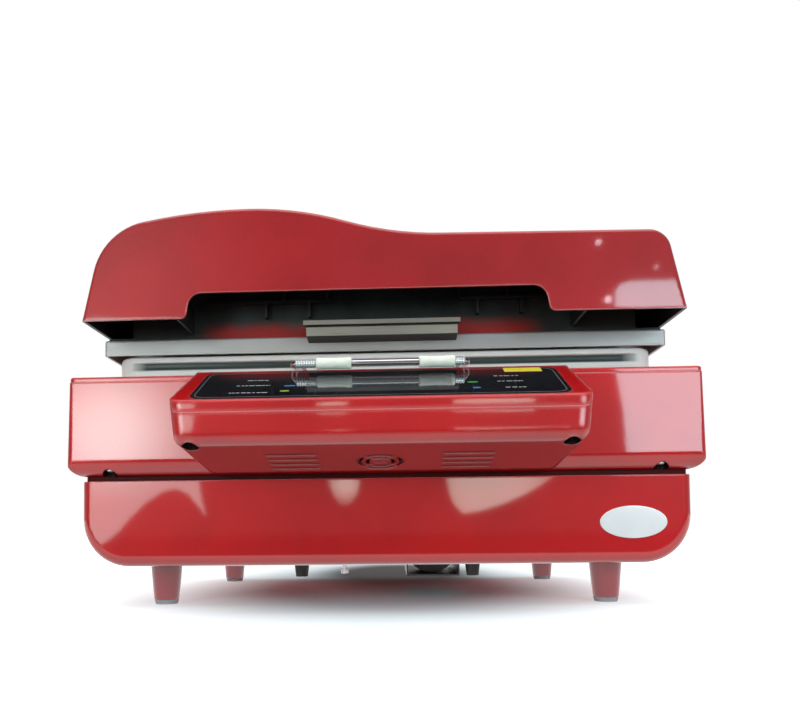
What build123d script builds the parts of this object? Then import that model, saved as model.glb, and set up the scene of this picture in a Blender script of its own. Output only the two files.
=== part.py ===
from build123d import *
import math
import os

# Tabletop vacuum sublimation press: a moulded base on four feet with a control box on its
# front, a silicone membrane frame lying on the base, and a tall heater lid over both.
# The frame and the lid swing on one rod behind the deck. Everything is drawn closed.
# Millimetres. Origin on the floor under the middle of the machine, +X right, +Y back, +Z up.

# ---- overall layout -----------------------------------------------------------------
overall_depth = 560.0        # control box front to the back of the hinge brackets
control_reach = 84.0         # control box ahead of the upper housing
hinge_reach = 6.0            # hinge brackets behind the upper housing
body_front = control_reach - overall_depth / 2
body_back = overall_depth / 2 - hinge_reach

# ---- base housings ------------------------------------------------------------------
wall = 3.0                   # moulded housing wall
foot_height = 40.0           # floor to the underside of the base, pad included
upper_width = 600.0
lower_side_inset = 10.0      # lower housing inside the upper one, each side
lower_width = upper_width - 2 * lower_side_inset
lower_height = 82.5
lower_setback = 12.0         # lower housing behind the upper one, front and back
lower_corner = 45.0          # large bottom corners seen from the front
lower_edge = 10.0            # rounding of the front and back faces' edges
seam_height = 4.5            # dark neck between the two housings
seam_inset = 3.0
seam_band = 12.0
upper_height = 90.0
upper_taper = 1.2            # moulding draft, degrees
upper_corner = 6.0
upper_edge = 15.0            # rounding under the upper housing
deck_thickness = 5.0
deck_edge = 1.6
deck_lip = 4.0               # locating lip under the deck cover
fit_gap = 0.3                # clearance where one moulding drops into another
ledge = 14.0                 # inward flange where housings meet the neck
shaft_gap = 0.05             # radial running clearance of shafts and pins

lower_front = body_front + lower_setback
lower_back = body_back - lower_setback - 3
lower_top = foot_height + lower_height
upper_bottom = lower_top + seam_height
deck_bottom = upper_bottom + upper_height
deck_top = deck_bottom + deck_thickness
draft_inset = upper_height * math.tan(math.radians(upper_taper))

# ---- feet ---------------------------------------------------------------------------
foot_side_inset = 68.0       # foot centres inside the lower housing
foot_front_inset = 54.0
foot_back_inset = 55.0
foot_spacing_x = lower_width - 2 * foot_side_inset
foot_front_y = lower_front + foot_front_inset
foot_back_y = lower_back - foot_back_inset
foot_top_diameter = 32.0
foot_tip_diameter = 25.6
foot_chamfer = 0.8
pad_height = 4.5
pad_top_diameter = 24.6
pad_bottom_diameter = 22.0

# ---- work chamber under the membrane --------------------------------------------------
chamber_side_inset = 63.0    # chamber inside the membrane frame
chamber_front_inset = 37.0
chamber_drop = 32.0
chamber_corner = 24.0
tray_gauge = 1.2
tray_floor_radius = 6.0
tray_flange = 8.0
gasket_width = 6.0
gasket_height = 3.7
grid_thickness = 2.0
grid_gap = 2.0
grid_slot_length = 30.0
grid_slot_width = 20.0
grid_web = 10.0              # steel left between slots
grid_rim = 12.0              # least steel left around the slots
grid_foot_inset = (52.0, 46.0)

# ---- membrane frame -------------------------------------------------------------------
frame_side_margin = 25.0     # deck left showing around the frame
frame_front_margin = 65.0
frame_back_margin = 29.0
frame_width = upper_width - 2 * frame_side_margin
frame_front = body_front + frame_front_margin
frame_back = body_back - frame_back_margin
chamber_y = (frame_front + frame_back) / 2
chamber_width = frame_width - 2 * chamber_side_inset
chamber_depth = frame_back - frame_front - 2 * chamber_front_inset
frame_corner = 20.0
frame_lift = 1.0             # above the deck
frame_height = 32.0
seal_wall = 6.0
seal_edge = 4.0
seal_lip = 3.0
seal_lip_reach = 14.0
groove_low = 6.5             # long groove in the seal that shows the dark rail
groove_high = 9.5
groove_end = 28.0            # full-height silicone left at every corner
clamp_band = 16.0
clamp_height = 3.0
sheet_gauge = 1.5
rail_band = 12.0
frame_open = 35.0            # degrees

# ---- chrome handle of the membrane frame ------------------------------------------------
handle_rod = 6.0
handle_span = 161.5
handle_ahead = 12.0          # bar in front of the upper housing
handle_bar_z = deck_top + 5.5
handle_root_z = deck_top + 14.5
handle_bend = 9.0
sleeve_length = 32.5
sleeve_diameter = 11.0
sleeve_places = {"left": -42.2, "right": 53.0}

# ---- lid --------------------------------------------------------------------------------
tray_overhang = 10.5         # heater tray beyond the membrane frame, each side
tray_width = frame_width + 2 * tray_overhang
tray_front = frame_front - 5.0
tray_back = frame_back - 5.0
tray_height = 16.0
tray_lift = 0.5              # above the membrane frame
tray_wall = 2.5
tray_z = deck_top + frame_lift + frame_height + tray_lift
tray_top = tray_z + tray_height

rim_z = tray_top + 4.5       # bottom edge of the hood
hood_back = body_back - 12.0
hood_rim_width = tray_width
# the hood seen from the front: where the left end would meet the crown, then along the top
shoulder = (-hood_rim_width / 2 + 19.7, rim_z + 86.5)
shoulder_radius = 62.0
peak = (-124.0, rim_z + 105.5)
plateau_start = (62.0, rim_z + 77.4)
plateau_end = (hood_rim_width / 2 - 49.5, rim_z + 75.4)
hood_corner = 21.0
hood_edge = 4.0
hood_skirt = 20.0            # cut away again below the rim
notch_left = (-184.5, -180.5)
notch_right = (160.0, 155.0)
notch_top = rim_z + 24.5
notch_flare = 6.0
notch_corner = 13.5
rib_x = 193.0
rib_thickness = 2.5

heat_side_inset = 50.5       # heating cavity inside the heater tray
heat_front_inset = 31.0
heat_width = tray_width - 2 * heat_side_inset
heat_depth = tray_back - tray_front - 2 * heat_front_inset
pan_top = rim_z + 57.0
pan_wall = 2.0
pan_half_width = tray_width / 2 - 27.5
pan_flange = tray_width / 2 - 4.5
tube_count = 6
tube_diameter = 10.0
tube_pitch = 52.0
tube_z = rim_z + 33.0
mat_thickness = 8.0
reflector_depth = 26.0
reflector_gauge = 1.0
holder_width = 10.0
holder_height = 20.0
tube_gap = 0.2
guard_gauge = 2.5
guard_pitch_x = 51.0
guard_pitch_y = 50.0
lid_handle_x = 1.5
lid_handle_width = 150.0
lid_lip_width = 155.0
# lid handle section: forward of the heater tray's face, and up from its bottom edge
lid_handle_profile = [(0, 9), (-20, 11.2), (-21, 19.4), (-17, 19.8), (-17, 25.6), (-13, 25.6),
                      (-10, 19), (0, 13.8)]
lid_lip_profile = [(-17, 21.2), (-25, 21.2), (-25, 25.6), (-13, 25.6), (-13, 23.2), (-17, 22.8)]
pan_rib_rise = 30.0          # long stiffening rib above the hood's rim
pan_rib_reach = 9.0
pan_ribs = ((-176.0, -50.0), (80.0, 182.0))
pan_post_height = 16.0
pan_posts_above = (-98.0, -54.0, 80.0, 128.0, 173.0)
pan_posts_below = (-116.0, -72.0, 98.0, 142.0)
lid_open = 60.0              # degrees

# ---- hinge ------------------------------------------------------------------------------
hinge_y = body_back - 6.0
hinge_z = deck_top + 18.0
hinge_rod = 10.0
hinge_side_inset = 70.0      # middle of each hinge inside the membrane frame
hinge_station = frame_width / 2 - hinge_side_inset
hinge_rod_overhang = 21.0    # rod beyond the middle of each hinge
hinge_rod_length = 2 * (hinge_station + hinge_rod_overhang)
cheek_gap = 31.0
cheek_thickness = 5.0
cheek_radius = overall_depth / 2 - hinge_y
bracket_front = hinge_y - 19.0
bracket_back = hinge_y + 2.0
bracket_gauge = 3.0
knuckle_width = 10.0
knuckle_offset = 8.0
knuckle_radius = 10.0

# ---- control box --------------------------------------------------------------------------
control_width = 357.0
control_bottom_back = upper_bottom + 1.0
control_bottom_front = control_bottom_back + 19.0
panel_back_z = deck_top + 1.5
panel_front_z = panel_back_z - 40.5
control_back_width = 351.0
control_underside_width = 331.0
control_wall = 2.5
control_edge = 11.0          # rounding of the nose and underside
panel_edge = 2.5
board_size = (250.0, 60.0)
board_drop = 7.0
board_gauge = 1.6
top_case_thickness = 9.0
overlay_width = 322.0
overlay_length = 86.0
overlay_corner = 12.0
overlay_thickness = 1.2
overlay_recess = 0.9
window_width = 128.0
window_length = 42.0
window_corner = 3.0
window_gap = 0.25
louvre_length = 44.0
louvre_width = 3.0
louvre_pitch = 13.0
louvre_x = 77.5
louvre_back = 53.0           # middle of the louvres behind the control box front
grille_back = 57.0
grille_radii = ((17.0, 20.5), (10.0, 13.5))
grille_spoke = 3.0
grille_eye = 4.0
recess_diameter = 14.0       # countersunk screw wells in the undersides
recess_depth = 11.0
screw_head = 9.0
screw_head_height = 3.5
upper_screw_x = upper_width / 2 - 40.0
control_screw_x = control_width / 2 - 18.5
screw_set_in = 10.0

# ---- machinery --------------------------------------------------------------------------
chassis_thickness = 2.0
pump_x = 53.0
motor_diameter = 60.0
motor_length = 84.0
cradle_width = 57.0
cradle_flange = 4.5
cradle_length = 150.0
cradle_drop = 17.0
cradle_gauge = 1.5
crank_size = (52.0, 34.0, 44.0)
cylinder_height = 20.0
mount_xs = (-90.0, 96.0)
mount_diameter = 17.0
mount_tip = 13.0
mount_drop = 17.0
drain_x = -43.0
bar_height = 3.0
bar_width = 20.0
hose_diameter = 10.0
port_diameter = 10.0
rear_fan_size = 60.0
rear_fan_depth = 15.0
rear_side_inset = 100.0      # rear fan inside the left end of the lower housing
rear_fan_x = rear_side_inset - lower_width / 2
panel_fan_size = 40.0
panel_fan_depth = 10.0
inlet_inset = 85.0           # power inlet inside the right end of the lower housing
switch_pitch = 60.0          # rocker switch beside the inlet
fuse_pitch = 40.0            # fuse beside the switch
inlet_x = lower_width / 2 - inlet_inset
switch_x = inlet_x - switch_pitch
fuse_x = switch_x - fuse_pitch
rear_panel_z = foot_height + 44.0
rocker_travel = 16.0         # degrees, off to on
rocker_width = 17.0
rocker_radius = 12.0
rocker_pin = 3.0
rocker_dish = 5.0
fan_shaft = 3.0
fan_blades = 7
inlet_flange = 2.5
inlet_depth = 20.0
inlet_pin = 12.0

standing = (Align.CENTER, Align.CENTER, Align.MIN)

os.makedirs("parts", exist_ok=True)


def save(piece, name):
    piece.part.label = name
    export_step(piece.part, f"parts/{name}.step")


def facing_front(y):
    """Sketch plane at depth y: local x is +X, local y is +Z, and it extrudes towards the front."""
    return Plane.XZ.offset(-y)


def facing_left(x):
    """Sketch plane at width x: local x is +Y, local y is +Z, and it extrudes towards +X."""
    return Plane.YZ.offset(x)


# =========================== feet ===========================
foot_places = {
    "front_left": (-foot_spacing_x / 2, foot_front_y),
    "front_right": (foot_spacing_x / 2, foot_front_y),
    "rear_left": (-foot_spacing_x / 2, foot_back_y),
    "rear_right": (foot_spacing_x / 2, foot_back_y),
}

for place, (foot_x, foot_y) in foot_places.items():
    with BuildPart(Plane((foot_x, foot_y, pad_height))) as foot:
        Cone(foot_tip_diameter / 2, foot_top_diameter / 2, foot_height - pad_height, align=standing)
        chamfer(foot.edges().sort_by(Axis.Z)[0], foot_chamfer)
    save(foot, f"foot_{place}")

with BuildPart() as foot_pads:
    with Locations(*foot_places.values()):
        Cone(pad_bottom_diameter / 2, pad_top_diameter / 2, pad_height, align=standing)
save(foot_pads, "foot_pads")


# =========================== lower housing ===========================
def tub(inset):
    """The lower housing's outer form, or its cavity when inset by the wall."""
    with BuildPart() as form:
        with BuildSketch(facing_front(lower_back - inset)) as section:
            with Locations((0, foot_height + lower_height / 2)):
                Rectangle(lower_width - 2 * inset, lower_height - 2 * inset)
            fillet(section.vertices().group_by(Axis.Y)[0], lower_corner - inset)
        extrude(amount=lower_back - lower_front - 2 * inset)
        for end in (0, -1):
            end_edges = form.faces().sort_by(Axis.Y)[end].edges()
            fillet(end_edges.sort_by(Axis.Z)[:-1], lower_edge - inset)
    return form.part


tub_outer = tub(0)
tub_cavity = tub(wall)
lower_mid_y = (lower_front + lower_back) / 2
lower_depth = lower_back - lower_front
slot_width = motor_diameter - 2

with BuildPart() as lower_housing:
    add(tub_outer)
    add(tub_cavity, mode=Mode.SUBTRACT)
    with BuildSketch(Plane.XY.offset(lower_top - wall)):
        with Locations((0, lower_mid_y)):
            RectangleRounded(lower_width - 2 * ledge, lower_depth - 2 * ledge, 8)
    extrude(amount=wall, mode=Mode.SUBTRACT)
    # slot in the floor for the pump motor, and vent slots either side of it
    with BuildSketch(Plane.XY.offset(foot_height)):
        with Locations((pump_x, 0)):
            RectangleRounded(slot_width, cradle_length - 12, 3)
        for side in (-1, 1):
            with Locations((side * 180, 20)):
                with GridLocations(0, 16, 1, 6):
                    Rectangle(70, 5)
    extrude(amount=wall, mode=Mode.SUBTRACT)
    # rear panel: fan opening, inlet, switch and fuse cut-outs, air slots
    with BuildSketch(facing_front(lower_back)):
        with Locations((rear_fan_x, rear_panel_z)):
            Circle(rear_fan_size / 2 - 3)
        with Locations((inlet_x, rear_panel_z)):
            Rectangle(27.4, 20.4)
        with Locations((switch_x, rear_panel_z)):
            Rectangle(22.4, 28.4)
        with Locations((fuse_x, rear_panel_z)):
            Circle(6.3)
        with Locations((-40, rear_panel_z)):
            with GridLocations(14, 0, 9, 1):
                SlotOverall(44, 5, rotation=90)
    extrude(amount=wall, mode=Mode.SUBTRACT)
save(lower_housing, "lower_housing")

with BuildPart() as chassis_plate:
    with BuildSketch(Plane.XY.offset(foot_height + wall)):
        with Locations((0, lower_mid_y)):
            RectangleRounded(lower_width - 2 * lower_corner - 12, lower_depth - 2 * lower_edge - 24, 6)
        with Locations((pump_x, 0)):
            RectangleRounded(slot_width, cradle_length - 12, 3, mode=Mode.SUBTRACT)
        for side in (-1, 1):
            with Locations((side * 180, 20)):
                with GridLocations(0, 16, 1, 6):
                    Rectangle(70, 5, mode=Mode.SUBTRACT)
    extrude(amount=chassis_thickness)
save(chassis_plate, "chassis_plate")
chassis_top = foot_height + wall + chassis_thickness

with BuildPart() as seam_frame:
    with BuildSketch(Plane.XY.offset(lower_top)):
        with Locations((0, lower_mid_y)):
            RectangleRounded(lower_width - 2 * seam_inset, lower_depth - 2 * seam_inset,
                             lower_edge - seam_inset)
            inner_inset = seam_inset + seam_band
            RectangleRounded(lower_width - 2 * inner_inset, lower_depth - 2 * inner_inset, 3,
                             mode=Mode.SUBTRACT)
    extrude(amount=seam_height)
save(seam_frame, "seam_frame")

# =========================== upper housing ===========================
upper_mid_y = (body_front + body_back) / 2
upper_depth = body_back - body_front


def edge_waste(half, low, radius, side):
    """What a rounding takes off both bottom edges of a drafted block, seen along one of its sides."""
    lean = math.tan(math.radians(upper_taper))
    with BuildSketch() as kept:
        with BuildLine():
            Polyline((-half, low), (half, low), (half - 2 * radius * lean, low + 2 * radius),
                     (-half + 2 * radius * lean, low + 2 * radius), close=True)
        make_face()
        fillet(kept.vertices().group_by(Axis.Y)[0], radius)
    with BuildPart() as waste:
        with BuildSketch(side):
            with Locations((0, low - 1)):
                Rectangle(2 * half + 2, radius + 3, align=(Align.CENTER, Align.MIN))
            add(kept.sketch, mode=Mode.SUBTRACT)
        extrude(amount=upper_width, both=True)
    return waste.part


def upper_form(inset, low, high, bottom_radius=0):
    """A drafted block following the upper housing's sides, inset, between two heights."""
    rise = (low - upper_bottom) * math.tan(math.radians(upper_taper))
    half_width = upper_width / 2 - inset - rise
    half_depth = upper_depth / 2 - inset - rise
    along_depth = Plane.XZ
    along_width = Plane((0, upper_mid_y, 0), x_dir=(0, 1, 0), z_dir=(1, 0, 0))
    with BuildPart() as form:
        with BuildSketch(Plane.XY.offset(low)):
            with Locations((0, upper_mid_y)):
                RectangleRounded(2 * half_width, 2 * half_depth, max(upper_corner - inset, 1))
        extrude(amount=high - low, taper=upper_taper)
        if bottom_radius:
            add(edge_waste(half_width, low, bottom_radius, along_depth), mode=Mode.SUBTRACT)
            add(edge_waste(half_depth, low, bottom_radius, along_width), mode=Mode.SUBTRACT)
    return form.part


upper_skin = upper_form(0, upper_bottom, deck_bottom, upper_edge)
upper_hollow = upper_form(wall, upper_bottom + wall, deck_bottom, upper_edge - wall)
deck_block = upper_form(0, deck_bottom, deck_top)
lip_outer = upper_form(wall + fit_gap, deck_bottom - deck_lip, deck_bottom)
lip_inner = upper_form(2 * wall + fit_gap, deck_bottom - deck_lip, deck_bottom)
well_places = [(-upper_screw_x, body_front + screw_set_in), (upper_screw_x, body_front + screw_set_in)]

with BuildPart() as upper_housing:
    add(upper_skin)
    add(upper_hollow, mode=Mode.SUBTRACT)
    # bosses round the screw wells
    with BuildSketch(Plane.XY.offset(upper_bottom)):
        with Locations(*well_places):
            Circle(recess_diameter / 2 + wall)
    extrude(amount=recess_depth + wall)
    add(upper_skin, mode=Mode.INTERSECT)
    with BuildSketch(Plane.XY.offset(upper_bottom)):
        with Locations(*well_places):
            Circle(recess_diameter / 2)
    extrude(amount=recess_depth, mode=Mode.SUBTRACT)
    # opening to the neck, and the wiring passage behind the control box
    with BuildSketch(Plane.XY.offset(upper_bottom)):
        with Locations((0, lower_mid_y)):
            RectangleRounded(lower_width - 2 * ledge, lower_depth - 2 * ledge, 8)
    extrude(amount=wall, mode=Mode.SUBTRACT)
    with BuildSketch(facing_front(body_front + wall + draft_inset)):
        with Locations((0, upper_bottom + 52)):
            RectangleRounded(180, 36, 5)
    extrude(amount=wall + 2 * draft_inset, mode=Mode.SUBTRACT)
save(upper_housing, "upper_housing")

with BuildPart() as deck_cover:
    add(deck_block)
    fillet(deck_cover.faces().sort_by(Axis.Z)[-1].edges(), deck_edge)
    add(lip_outer)
    add(lip_inner, mode=Mode.SUBTRACT)
    with BuildSketch(Plane.XY.offset(deck_bottom - deck_lip)):
        with Locations((0, chamber_y)):
            RectangleRounded(chamber_width + 2 * fit_gap, chamber_depth + 2 * fit_gap, chamber_corner)
    extrude(amount=deck_lip + deck_thickness, mode=Mode.SUBTRACT)
save(deck_cover, "deck_cover")

# =========================== work chamber ===========================
chamber_plane = Plane((0, chamber_y, deck_top))
port_plane = Plane((0, chamber_y, deck_top - chamber_drop - 12))

with BuildPart() as tray_pocket:
    with BuildSketch(chamber_plane.offset(tray_gauge)):
        RectangleRounded(chamber_width - 2 * tray_gauge, chamber_depth - 2 * tray_gauge,
                         chamber_corner - tray_gauge)
    extrude(amount=-chamber_drop)
    fillet(tray_pocket.faces().sort_by(Axis.Z)[0].edges(), tray_floor_radius - tray_gauge)

with BuildPart() as work_tray:
    with BuildSketch(chamber_plane):
        RectangleRounded(chamber_width + 2 * tray_flange, chamber_depth + 2 * tray_flange,
                         chamber_corner + tray_flange)
    extrude(amount=tray_gauge)
    with BuildSketch(chamber_plane):
        RectangleRounded(chamber_width, chamber_depth, chamber_corner)
    extrude(amount=-chamber_drop)
    fillet(work_tray.faces().sort_by(Axis.Z)[0].edges(), tray_floor_radius)
    add(tray_pocket.part, mode=Mode.SUBTRACT)
    with BuildSketch(port_plane):
        Circle(port_diameter / 2)
    extrude(amount=12 + tray_gauge / 2)
    with BuildSketch(port_plane):
        Circle(port_diameter / 2 - 2)
    extrude(amount=12 + tray_gauge, mode=Mode.SUBTRACT)
save(work_tray, "work_tray")

gasket_inner = tray_flange + fit_gap
with BuildPart() as tray_gasket:
    with BuildSketch(chamber_plane):
        RectangleRounded(chamber_width + 2 * (gasket_inner + gasket_width),
                         chamber_depth + 2 * (gasket_inner + gasket_width),
                         chamber_corner + gasket_inner + gasket_width)
        RectangleRounded(chamber_width + 2 * gasket_inner, chamber_depth + 2 * gasket_inner,
                         chamber_corner + gasket_inner, mode=Mode.SUBTRACT)
    extrude(amount=gasket_height)
save(tray_gasket, "tray_gasket")

grid_z = deck_top - chamber_drop + tray_gauge
with BuildPart() as support_grid:
    with BuildSketch(Plane((0, chamber_y, grid_z + 4))):
        RectangleRounded(chamber_width - 2 * tray_gauge - 2 * grid_gap,
                         chamber_depth - 2 * tray_gauge - 2 * grid_gap, chamber_corner - 4)
        slot_pitch_x, slot_pitch_y = grid_slot_length + grid_web, grid_slot_width + grid_web
        with GridLocations(slot_pitch_x, slot_pitch_y, int((chamber_width - 2 * grid_rim) / slot_pitch_x),
                           int((chamber_depth - 2 * grid_rim) / slot_pitch_y)):
            Rectangle(grid_slot_length, grid_slot_width, mode=Mode.SUBTRACT)
    extrude(amount=grid_thickness)
    with BuildSketch(Plane((0, chamber_y, grid_z))):
        with GridLocations(chamber_width - 2 * grid_foot_inset[0], chamber_depth - 2 * grid_foot_inset[1], 2, 2):
            Circle(4)
    extrude(amount=4)
save(support_grid, "support_grid")

# =========================== control box ===========================
control_front = body_front - control_reach
slope = math.degrees(math.atan2(panel_back_z - panel_front_z, control_reach))
panel_mid = Vector(0, control_front + control_reach / 2, (panel_front_z + panel_back_z) / 2)
panel_plane = Plane(panel_mid, x_dir=(1, 0, 0),
                    z_dir=(0, -math.sin(math.radians(slope)), math.cos(math.radians(slope))))
underside_drop = (control_bottom_front - control_bottom_back) / control_reach
underside_angle = math.atan(underside_drop)
underside_up = Vector(0, math.sin(underside_angle), math.cos(underside_angle))


def underside_at(x, back):
    """Plane on the underside's outer skin, facing up into the box."""
    z = control_bottom_front - back * underside_drop
    return Plane((x, control_front + back, z), x_dir=(1, 0, 0), z_dir=underside_up)


def control_form(inset):
    """The whole control box, narrower at the back and bottom and sloped on top, or its cavity."""
    reach = control_reach + 8
    back_top = panel_front_z + (panel_back_z - panel_front_z) * reach / control_reach
    back_bottom = control_bottom_front - underside_drop * reach
    body_edge = control_front + control_reach
    with BuildPart() as form:
        with BuildSketch(facing_left(-control_width / 2)):
            with BuildLine():
                Polyline((control_front, control_bottom_front), (control_front, panel_front_z),
                         (control_front + reach, back_top), (control_front + reach, back_bottom),
                         close=True)
            make_face()
            if inset:
                offset(amount=-inset, kind=Kind.INTERSECTION)
        extrude(amount=control_width)
        for side in (-1, 1):
            nose = Vector(side * control_width / 2, control_front, panel_front_z)
            tail = Vector(side * control_back_width / 2, body_edge, panel_back_z)
            under = Vector(side * control_underside_width / 2, body_edge, control_bottom_back)
            outward = (under - nose).cross(tail - nose).normalized() * side
            cheek = Plane(nose - outward * inset, x_dir=tail - nose, z_dir=outward)
            split(bisect_by=cheek, keep=Keep.BOTTOM)
        nose_edges = form.faces().sort_by(Axis.Y)[0].edges().sort_by(Axis.Z)[:-1]
        runners = form.edges().filter_by(lambda e: abs(e.tangent_at(0.5).Y) > 0.7).group_by(Axis.Z)[0]
        fillet(list(nose_edges) + list(runners), control_edge - inset)
        if not inset:
            top_edges = form.faces().sort_by(Axis.Z)[-1].edges().sort_by(Axis.Y)[:-1]
            fillet(top_edges, panel_edge)
    return form.part


control_outer = control_form(0)
control_cavity = control_form(control_wall)
seam_plane = panel_plane.offset(-top_case_thickness)
housing_face = upper_form(0, upper_bottom - 20, deck_top + 20)
control_wells = [(-control_screw_x, control_front + screw_set_in),
                 (control_screw_x, control_front + screw_set_in)]
control_well_z = control_bottom_front - screw_set_in * underside_drop

with BuildPart() as control_lower_case:
    add(control_outer)
    add(control_cavity, mode=Mode.SUBTRACT)
    split(bisect_by=seam_plane, keep=Keep.BOTTOM)
    with BuildSketch(Plane.XY.offset(control_bottom_back)):
        with Locations(*control_wells):
            Circle(recess_diameter / 2 + control_wall)
    extrude(amount=control_well_z + recess_depth + control_wall - control_bottom_back)
    add(control_outer, mode=Mode.INTERSECT)
    with BuildSketch(Plane.XY.offset(control_bottom_back)):
        with Locations(*control_wells):
            Circle(recess_diameter / 2)
    extrude(amount=control_well_z + recess_depth - control_bottom_back, mode=Mode.SUBTRACT)
    # louvres either side of a round fan grille, cut square to the sloping underside
    with BuildSketch(underside_at(0, louvre_back)):
        with GridLocations(2 * louvre_x, louvre_pitch, 2, 4):
            SlotOverall(louvre_length, louvre_width)
    with BuildSketch(underside_at(0, grille_back)):
        for inner, outer in grille_radii:
            Circle(outer)
            Circle(inner, mode=Mode.SUBTRACT)
        Circle(grille_eye)
        for angle in (45, -45):
            Rectangle(3 * grille_radii[0][1], grille_spoke, rotation=angle, mode=Mode.SUBTRACT)
    extrude(amount=control_wall + 1, both=True, mode=Mode.SUBTRACT)
    add(housing_face, mode=Mode.SUBTRACT)
save(control_lower_case, "control_lower_case")

with BuildPart() as control_top_case:
    add(control_outer)
    add(control_cavity, mode=Mode.SUBTRACT)
    split(bisect_by=seam_plane, keep=Keep.TOP)
    with BuildSketch(panel_plane):
        RectangleRounded(overlay_width + 2 * window_gap, overlay_length + 2 * window_gap,
                         overlay_corner + window_gap)
    extrude(amount=-overlay_recess, mode=Mode.SUBTRACT)
    with BuildSketch(panel_plane):
        RectangleRounded(window_width - 8, window_length - 8, window_corner)
    extrude(amount=-control_wall - 1, mode=Mode.SUBTRACT)
    add(housing_face, mode=Mode.SUBTRACT)
save(control_top_case, "control_top_case")

overlay_plane = panel_plane.offset(-overlay_recess)
with BuildPart() as panel_overlay:
    with BuildSketch(overlay_plane):
        RectangleRounded(overlay_width, overlay_length, overlay_corner)
        RectangleRounded(window_width, window_length, window_corner, mode=Mode.SUBTRACT)
    extrude(amount=overlay_thickness)
save(panel_overlay, "panel_overlay")

with BuildPart() as display_window:
    with BuildSketch(overlay_plane):
        RectangleRounded(window_width - 2 * window_gap, window_length - 2 * window_gap, window_corner)
    extrude(amount=overlay_thickness)
save(display_window, "display_window")

with BuildPart() as control_board:
    with BuildSketch(panel_plane.offset(-control_wall - board_drop)):
        RectangleRounded(board_size[0], board_size[1], 3)
    extrude(amount=-board_gauge)
    with BuildSketch(panel_plane.offset(-control_wall)):
        Rectangle(window_width - 4, window_length - 4)
        with GridLocations(board_size[0] - 12, board_size[1] - 12, 2, 2):
            Circle(3)
        with GridLocations(board_size[0] - 50, 14, 2, 4):
            Rectangle(6, 6)
    extrude(amount=-board_drop)
save(control_board, "control_board")


# =========================== fans ===========================
def axial_fan(seat, size, depth, name):
    """A square fan sitting on a plane, and its rotor on the stator's shaft."""
    ring = size / 2 - 1.5
    hub = size * 0.2
    blade_root = hub - 1.5
    blade_length = ring - 1.0 - blade_root
    blade_chord = depth * 0.62
    with BuildPart() as frame:
        with BuildSketch(seat):
            RectangleRounded(size, size, 3)
            Circle(ring, mode=Mode.SUBTRACT)
        extrude(amount=depth)
        with BuildSketch(seat.offset(depth - 2)):
            Circle(hub)
            Rectangle(size - 1, 3)
            Rectangle(3, size - 1)
        extrude(amount=2)
        with BuildSketch(seat.offset(depth - 2)):
            Circle(fan_shaft / 2)
        extrude(amount=-(depth - 5))
    save(frame, f"{name}_frame")
    with BuildPart() as rotor:
        with BuildSketch(seat.offset(1.5)):
            Circle(hub)
        extrude(amount=depth - 4.5)
        for step in range(fan_blades):
            turn = math.radians(step * 360 / fan_blades)
            outward = seat.x_dir * math.cos(turn) + seat.y_dir * math.sin(turn)
            root = seat.origin + outward * blade_root + seat.z_dir * (depth - 1.5) / 2
            with BuildSketch(Plane(root, x_dir=seat.z_dir.cross(outward), z_dir=outward)):
                Rectangle(blade_chord, 1.0, rotation=32)
            extrude(amount=blade_length)
        with BuildSketch(seat.offset(2.6)):
            Circle(fan_shaft / 2 + shaft_gap)
        extrude(amount=depth, mode=Mode.SUBTRACT)
    save(rotor, f"{name}_rotor")


panel_fan_seat = underside_at(0, grille_back).offset(control_wall)
axial_fan(panel_fan_seat, panel_fan_size, panel_fan_depth, "panel_fan")
rear_fan_seat = Plane((rear_fan_x, lower_back - wall, rear_panel_z), x_dir=(1, 0, 0), z_dir=(0, -1, 0))
axial_fan(rear_fan_seat, rear_fan_size, rear_fan_depth, "rear_fan")

# =========================== rear panel fittings ===========================
with BuildPart() as power_inlet:
    with BuildSketch(facing_front(lower_back + inlet_flange)):
        with Locations((inlet_x, rear_panel_z)):
            RectangleRounded(48, 27, 5)
    extrude(amount=inlet_flange)
    with BuildSketch(facing_front(lower_back)):
        with Locations((inlet_x, rear_panel_z)):
            Rectangle(27, 20)
    extrude(amount=inlet_depth)
    with BuildSketch(facing_front(lower_back + inlet_flange)):
        with Locations((inlet_x, rear_panel_z)):
            Rectangle(24, 16.5)
    extrude(amount=inlet_depth, mode=Mode.SUBTRACT)
    with BuildSketch(facing_front(lower_back - inlet_depth + inlet_pin)):
        with Locations((inlet_x, rear_panel_z + 3), (inlet_x - 7, rear_panel_z - 2),
                       (inlet_x + 7, rear_panel_z - 2)):
            Rectangle(2, 4)
    extrude(amount=inlet_pin)
save(power_inlet, "power_inlet")

switch_bore = Plane((switch_x, lower_back, rear_panel_z), x_dir=(0, 1, 0), z_dir=(1, 0, 0))
with BuildPart() as switch_frame:
    with BuildSketch(facing_front(lower_back + 2)):
        with Locations((switch_x, rear_panel_z)):
            RectangleRounded(26, 33, 2)
    extrude(amount=2)
    with BuildSketch(facing_front(lower_back)):
        with Locations((switch_x, rear_panel_z)):
            Rectangle(22, 28)
    extrude(amount=18)
    with BuildSketch(facing_front(lower_back + 2)):
        with Locations((switch_x, rear_panel_z)):
            Rectangle(rocker_width + 1, 2 * rocker_radius + 0.8)
    extrude(amount=17, mode=Mode.SUBTRACT)
    with BuildSketch(switch_bore):
        Circle(rocker_pin / 2 + shaft_gap)
    extrude(amount=10.5, both=True, mode=Mode.SUBTRACT)
save(switch_frame, "power_switch_frame")

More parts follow.
